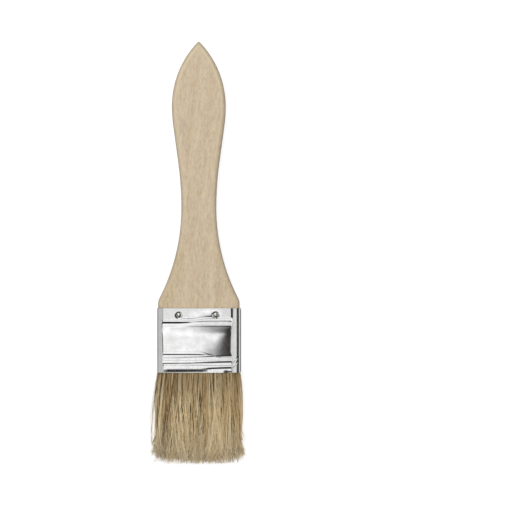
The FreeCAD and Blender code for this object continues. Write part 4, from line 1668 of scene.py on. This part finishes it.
@dataclass
class Studio:
    """The table, the light and the camera. None of it belongs to the brush."""

    field_of_view: float = 256 * MM
    lens: float = 100.0
    sensor: float = 36.0
    clip: tuple[float, float] = (0.01, 50.0)
    target: tuple[float, float] = (28.75 * MM, -1.6 * MM)
    top: float = 10 * MM
    table_size: float = 6.0
    table_colour: Colour = (0.55, 0.55, 0.55, 1.0)
    white: Colour = (1.0, 1.0, 1.0, 1.0)
    table_glow: float = 0.68
    table_mirrored: float = 0.2
    sky_low: float = 0.22
    sky_rise: float = 0.9
    dark: tuple[Colour, Colour] = ((0.018, 0.018, 0.019, 1.0), (0.034, 0.028, 0.026, 1.0))
    dark_turn: tuple[float, float, float] = (0.02, 0.27, 0.08)
    cards: tuple[Card, ...] = (
        Card((0.59, 0.59, 0.58, 1.0), (-0.66, -0.25, 0.05), (-0.6, 2.0, 0.1)),
        Card((0.91, 0.92, 0.89, 1.0), (0.35, 0.54, 0.08), (-0.35, 0.3, 0.1)),
        Card((1.1, 1.1, 1.08, 1.0), (-0.7, 0.2, 0.15), (0.4, 2.0, 0.15)),
    )
    light: tuple[Colour, Colour] = ((1.05, 1.05, 1.05, 1.0), (1.0, 1.0, 1.01, 1.0))
    light_turn: tuple[float, float] = (-0.07, -0.01)
    light_rise: tuple[float, float] = (-0.30, -0.22)
    light_fall: tuple[float, float] = (-0.015, 0.105)
    light_along: tuple[float, float, float] = (-0.17, 2.0, 0.09)
    light_fades: tuple[tuple[float, float, float, float], ...] = (
        (0.4, 1.0, 1.0, 0.7),
        (-0.1, -0.035, 1.34, 0.78),
        (0.0, 0.14, 1.0, 1.36),
    )
    ring: Colour = (0.62, 0.62, 0.62, 1.0)
    ring_top: tuple[float, float] = (0.27, 0.33)
    lamp_size: float = 0.5
    lamp_energy: float = 1.7
    lamp_place: tuple[float, float, float] = (-0.35, 0.45, 0.75)

    def camera(self) -> None:
        """Makes the camera, which looks straight down."""
        data = bpy.data.cameras.new("camera")
        data.lens, data.sensor_width = self.lens, self.sensor
        data.clip_start, data.clip_end = self.clip
        camera = bpy.data.objects.new("camera", data)
        camera.location = (*self.target, self.top + self.field_of_view * self.lens / self.sensor)
        bpy.context.scene.collection.objects.link(camera)
        bpy.context.scene.camera = camera

    def table(self) -> None:
        """Makes the white table, which keeps the brush's shadow."""
        half = self.table_size / 2
        mesh = bpy.data.meshes.new("table")
        corners = [(-half, -half, 0), (half, -half, 0), (half, half, 0), (-half, half, 0)]
        mesh.from_pydata(corners, [], [(0, 1, 2, 3)])
        table = bpy.data.objects.new("table", mesh)
        bpy.context.scene.collection.objects.link(table)
        material, wiring, shader, _ = new_material("white_table")
        path = wiring.add("ShaderNodeLightPath").outputs
        seen = wiring.maths("MAXIMUM", path["Is Camera Ray"], path["Is Transmission Ray"])
        seen = wiring.times(seen, self.table_glow)
        glow = wiring.times_plus(path["Is Glossy Ray"], self.table_mirrored, seen)
        plain = {"Base Color": self.table_colour, "Roughness": 1.0, "Specular IOR Level": 0.0}
        wiring.fill(shader, {**plain, "Emission Color": self.white, "Emission Strength": glow})
        mesh.materials.append(material)

    def sky(self) -> None:
        """Makes the light: plain for the wood and the hair, and a set of cards for the metal to mirror."""
        world = bpy.data.worlds.new("studio")
        bpy.context.scene.world = world
        world.use_nodes = True
        world.node_tree.nodes.clear()
        wiring = Wiring(world.node_tree)
        direction = wiring.add("ShaderNodeTexCoord").outputs["Generated"]
        x, y, z = wiring.axes(wiring.out("ShaderNodeVectorMath", {0: direction}, operation="NORMALIZE"))
        plain = wiring.times_plus(wiring.maths("MAXIMUM", z, 0.0), self.sky_rise, self.sky_low)
        path = wiring.add("ShaderNodeLightPath").outputs
        colour = wiring.blend(path["Is Glossy Ray"], plain, self.mirrored(wiring, x, y, z))
        colour = wiring.blend(path["Is Camera Ray"], colour, self.white)
        background = wiring.out("ShaderNodeBackground", {"Color": colour, "Strength": 1.0})
        wiring.add("ShaderNodeOutputWorld", {0: background})

    def mirrored(self, wiring: Wiring, x: Socket, y: Socket, z: Socket) -> Socket:
        """What the metal mirrors: cards and a light before the dark, and a grey ring low down.

        Args:
            wiring: The world's wiring.
            x: Direction across the brush.
            y: Direction along the brush.
            z: Direction upwards.

        Returns:
            The colour.
        """
        seen = wiring.blend(wiring.window(x, *self.dark_turn), *self.dark)
        for card in self.cards:
            share = wiring.times(wiring.window(x, *card.across), wiring.window(y, *card.along))
            seen = wiring.blend(share, seen, card.colour)
        light = wiring.blend(wiring.remap(x, *self.light_turn), *self.light)
        for fade in self.light_fades:
            light = wiring.scaled(light, wiring.remap(y, *fade))
        rise, fall = wiring.remap(x, *self.light_rise), wiring.remap(x, *self.light_fall, 1.0, 0.0)
        share = wiring.times(wiring.times(rise, fall), wiring.window(y, *self.light_along))
        seen = wiring.blend(share, seen, light)
        return wiring.blend(wiring.remap(z, *self.ring_top, 1.0, 0.0), seen, self.ring)

    def lamp(self) -> None:
        """Makes the soft key light, up and to the left."""
        data = bpy.data.lights.new("key", "AREA")
        data.shape, data.size, data.energy = "SQUARE", self.lamp_size, self.lamp_energy
        lamp = bpy.data.objects.new("key", data)
        lamp.location = self.lamp_place
        lamp.rotation_euler = (-lamp.location).to_track_quat("-Z", "Y").to_euler()
        lamp.visible_glossy = False
        bpy.context.scene.collection.objects.link(lamp)

    def build(self) -> None:
        """Sets the studio up."""
        bpy.context.scene.view_settings.view_transform = "Standard"
        self.camera()
        self.table()
        self.sky()
        self.lamp()


def dress_nodes(effects: Effects) -> None:
    """Gives the model's own nodes that stay in sight their finishes.

    Args:
        effects: The shared effects.
    """
    nail = TinFinish(
        name="bright_nail",
        colour=tone(240, 238, 232),
        dull=tone(214, 206, 192),
        smooth=0.08,
        worn=0.16,
        ripple=0.004 * MM,
        ripple_size=0.8 * MM,
    )
    finishes = {
        "nail": nail.material(effects),
        "filler": BeechFinish(name="filler_beech").material(effects),
    }
    for name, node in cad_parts.items():
        material = finishes.get(name.split("_")[0])
        if material is not None:
            node.data.materials.clear()
            node.data.materials.append(material)
            log.info("node %s: %s", name, material.name)


def main() -> None:
    """Builds the studio and the brush."""
    logging.basicConfig(level=logging.INFO, format="%(message)s", stream=sys.stdout)
    effects = Effects()
    Studio().build()
    for part in (
        Handle(BeechFinish()),
        Ferrule(TinFinish("bright_tinplate")),
        Plug(ResinFinish()),
        Tuft(BristleFinish()),
    ):
        part.build(effects)
    dress_nodes(effects)


if __name__ == "__main__":
    main()
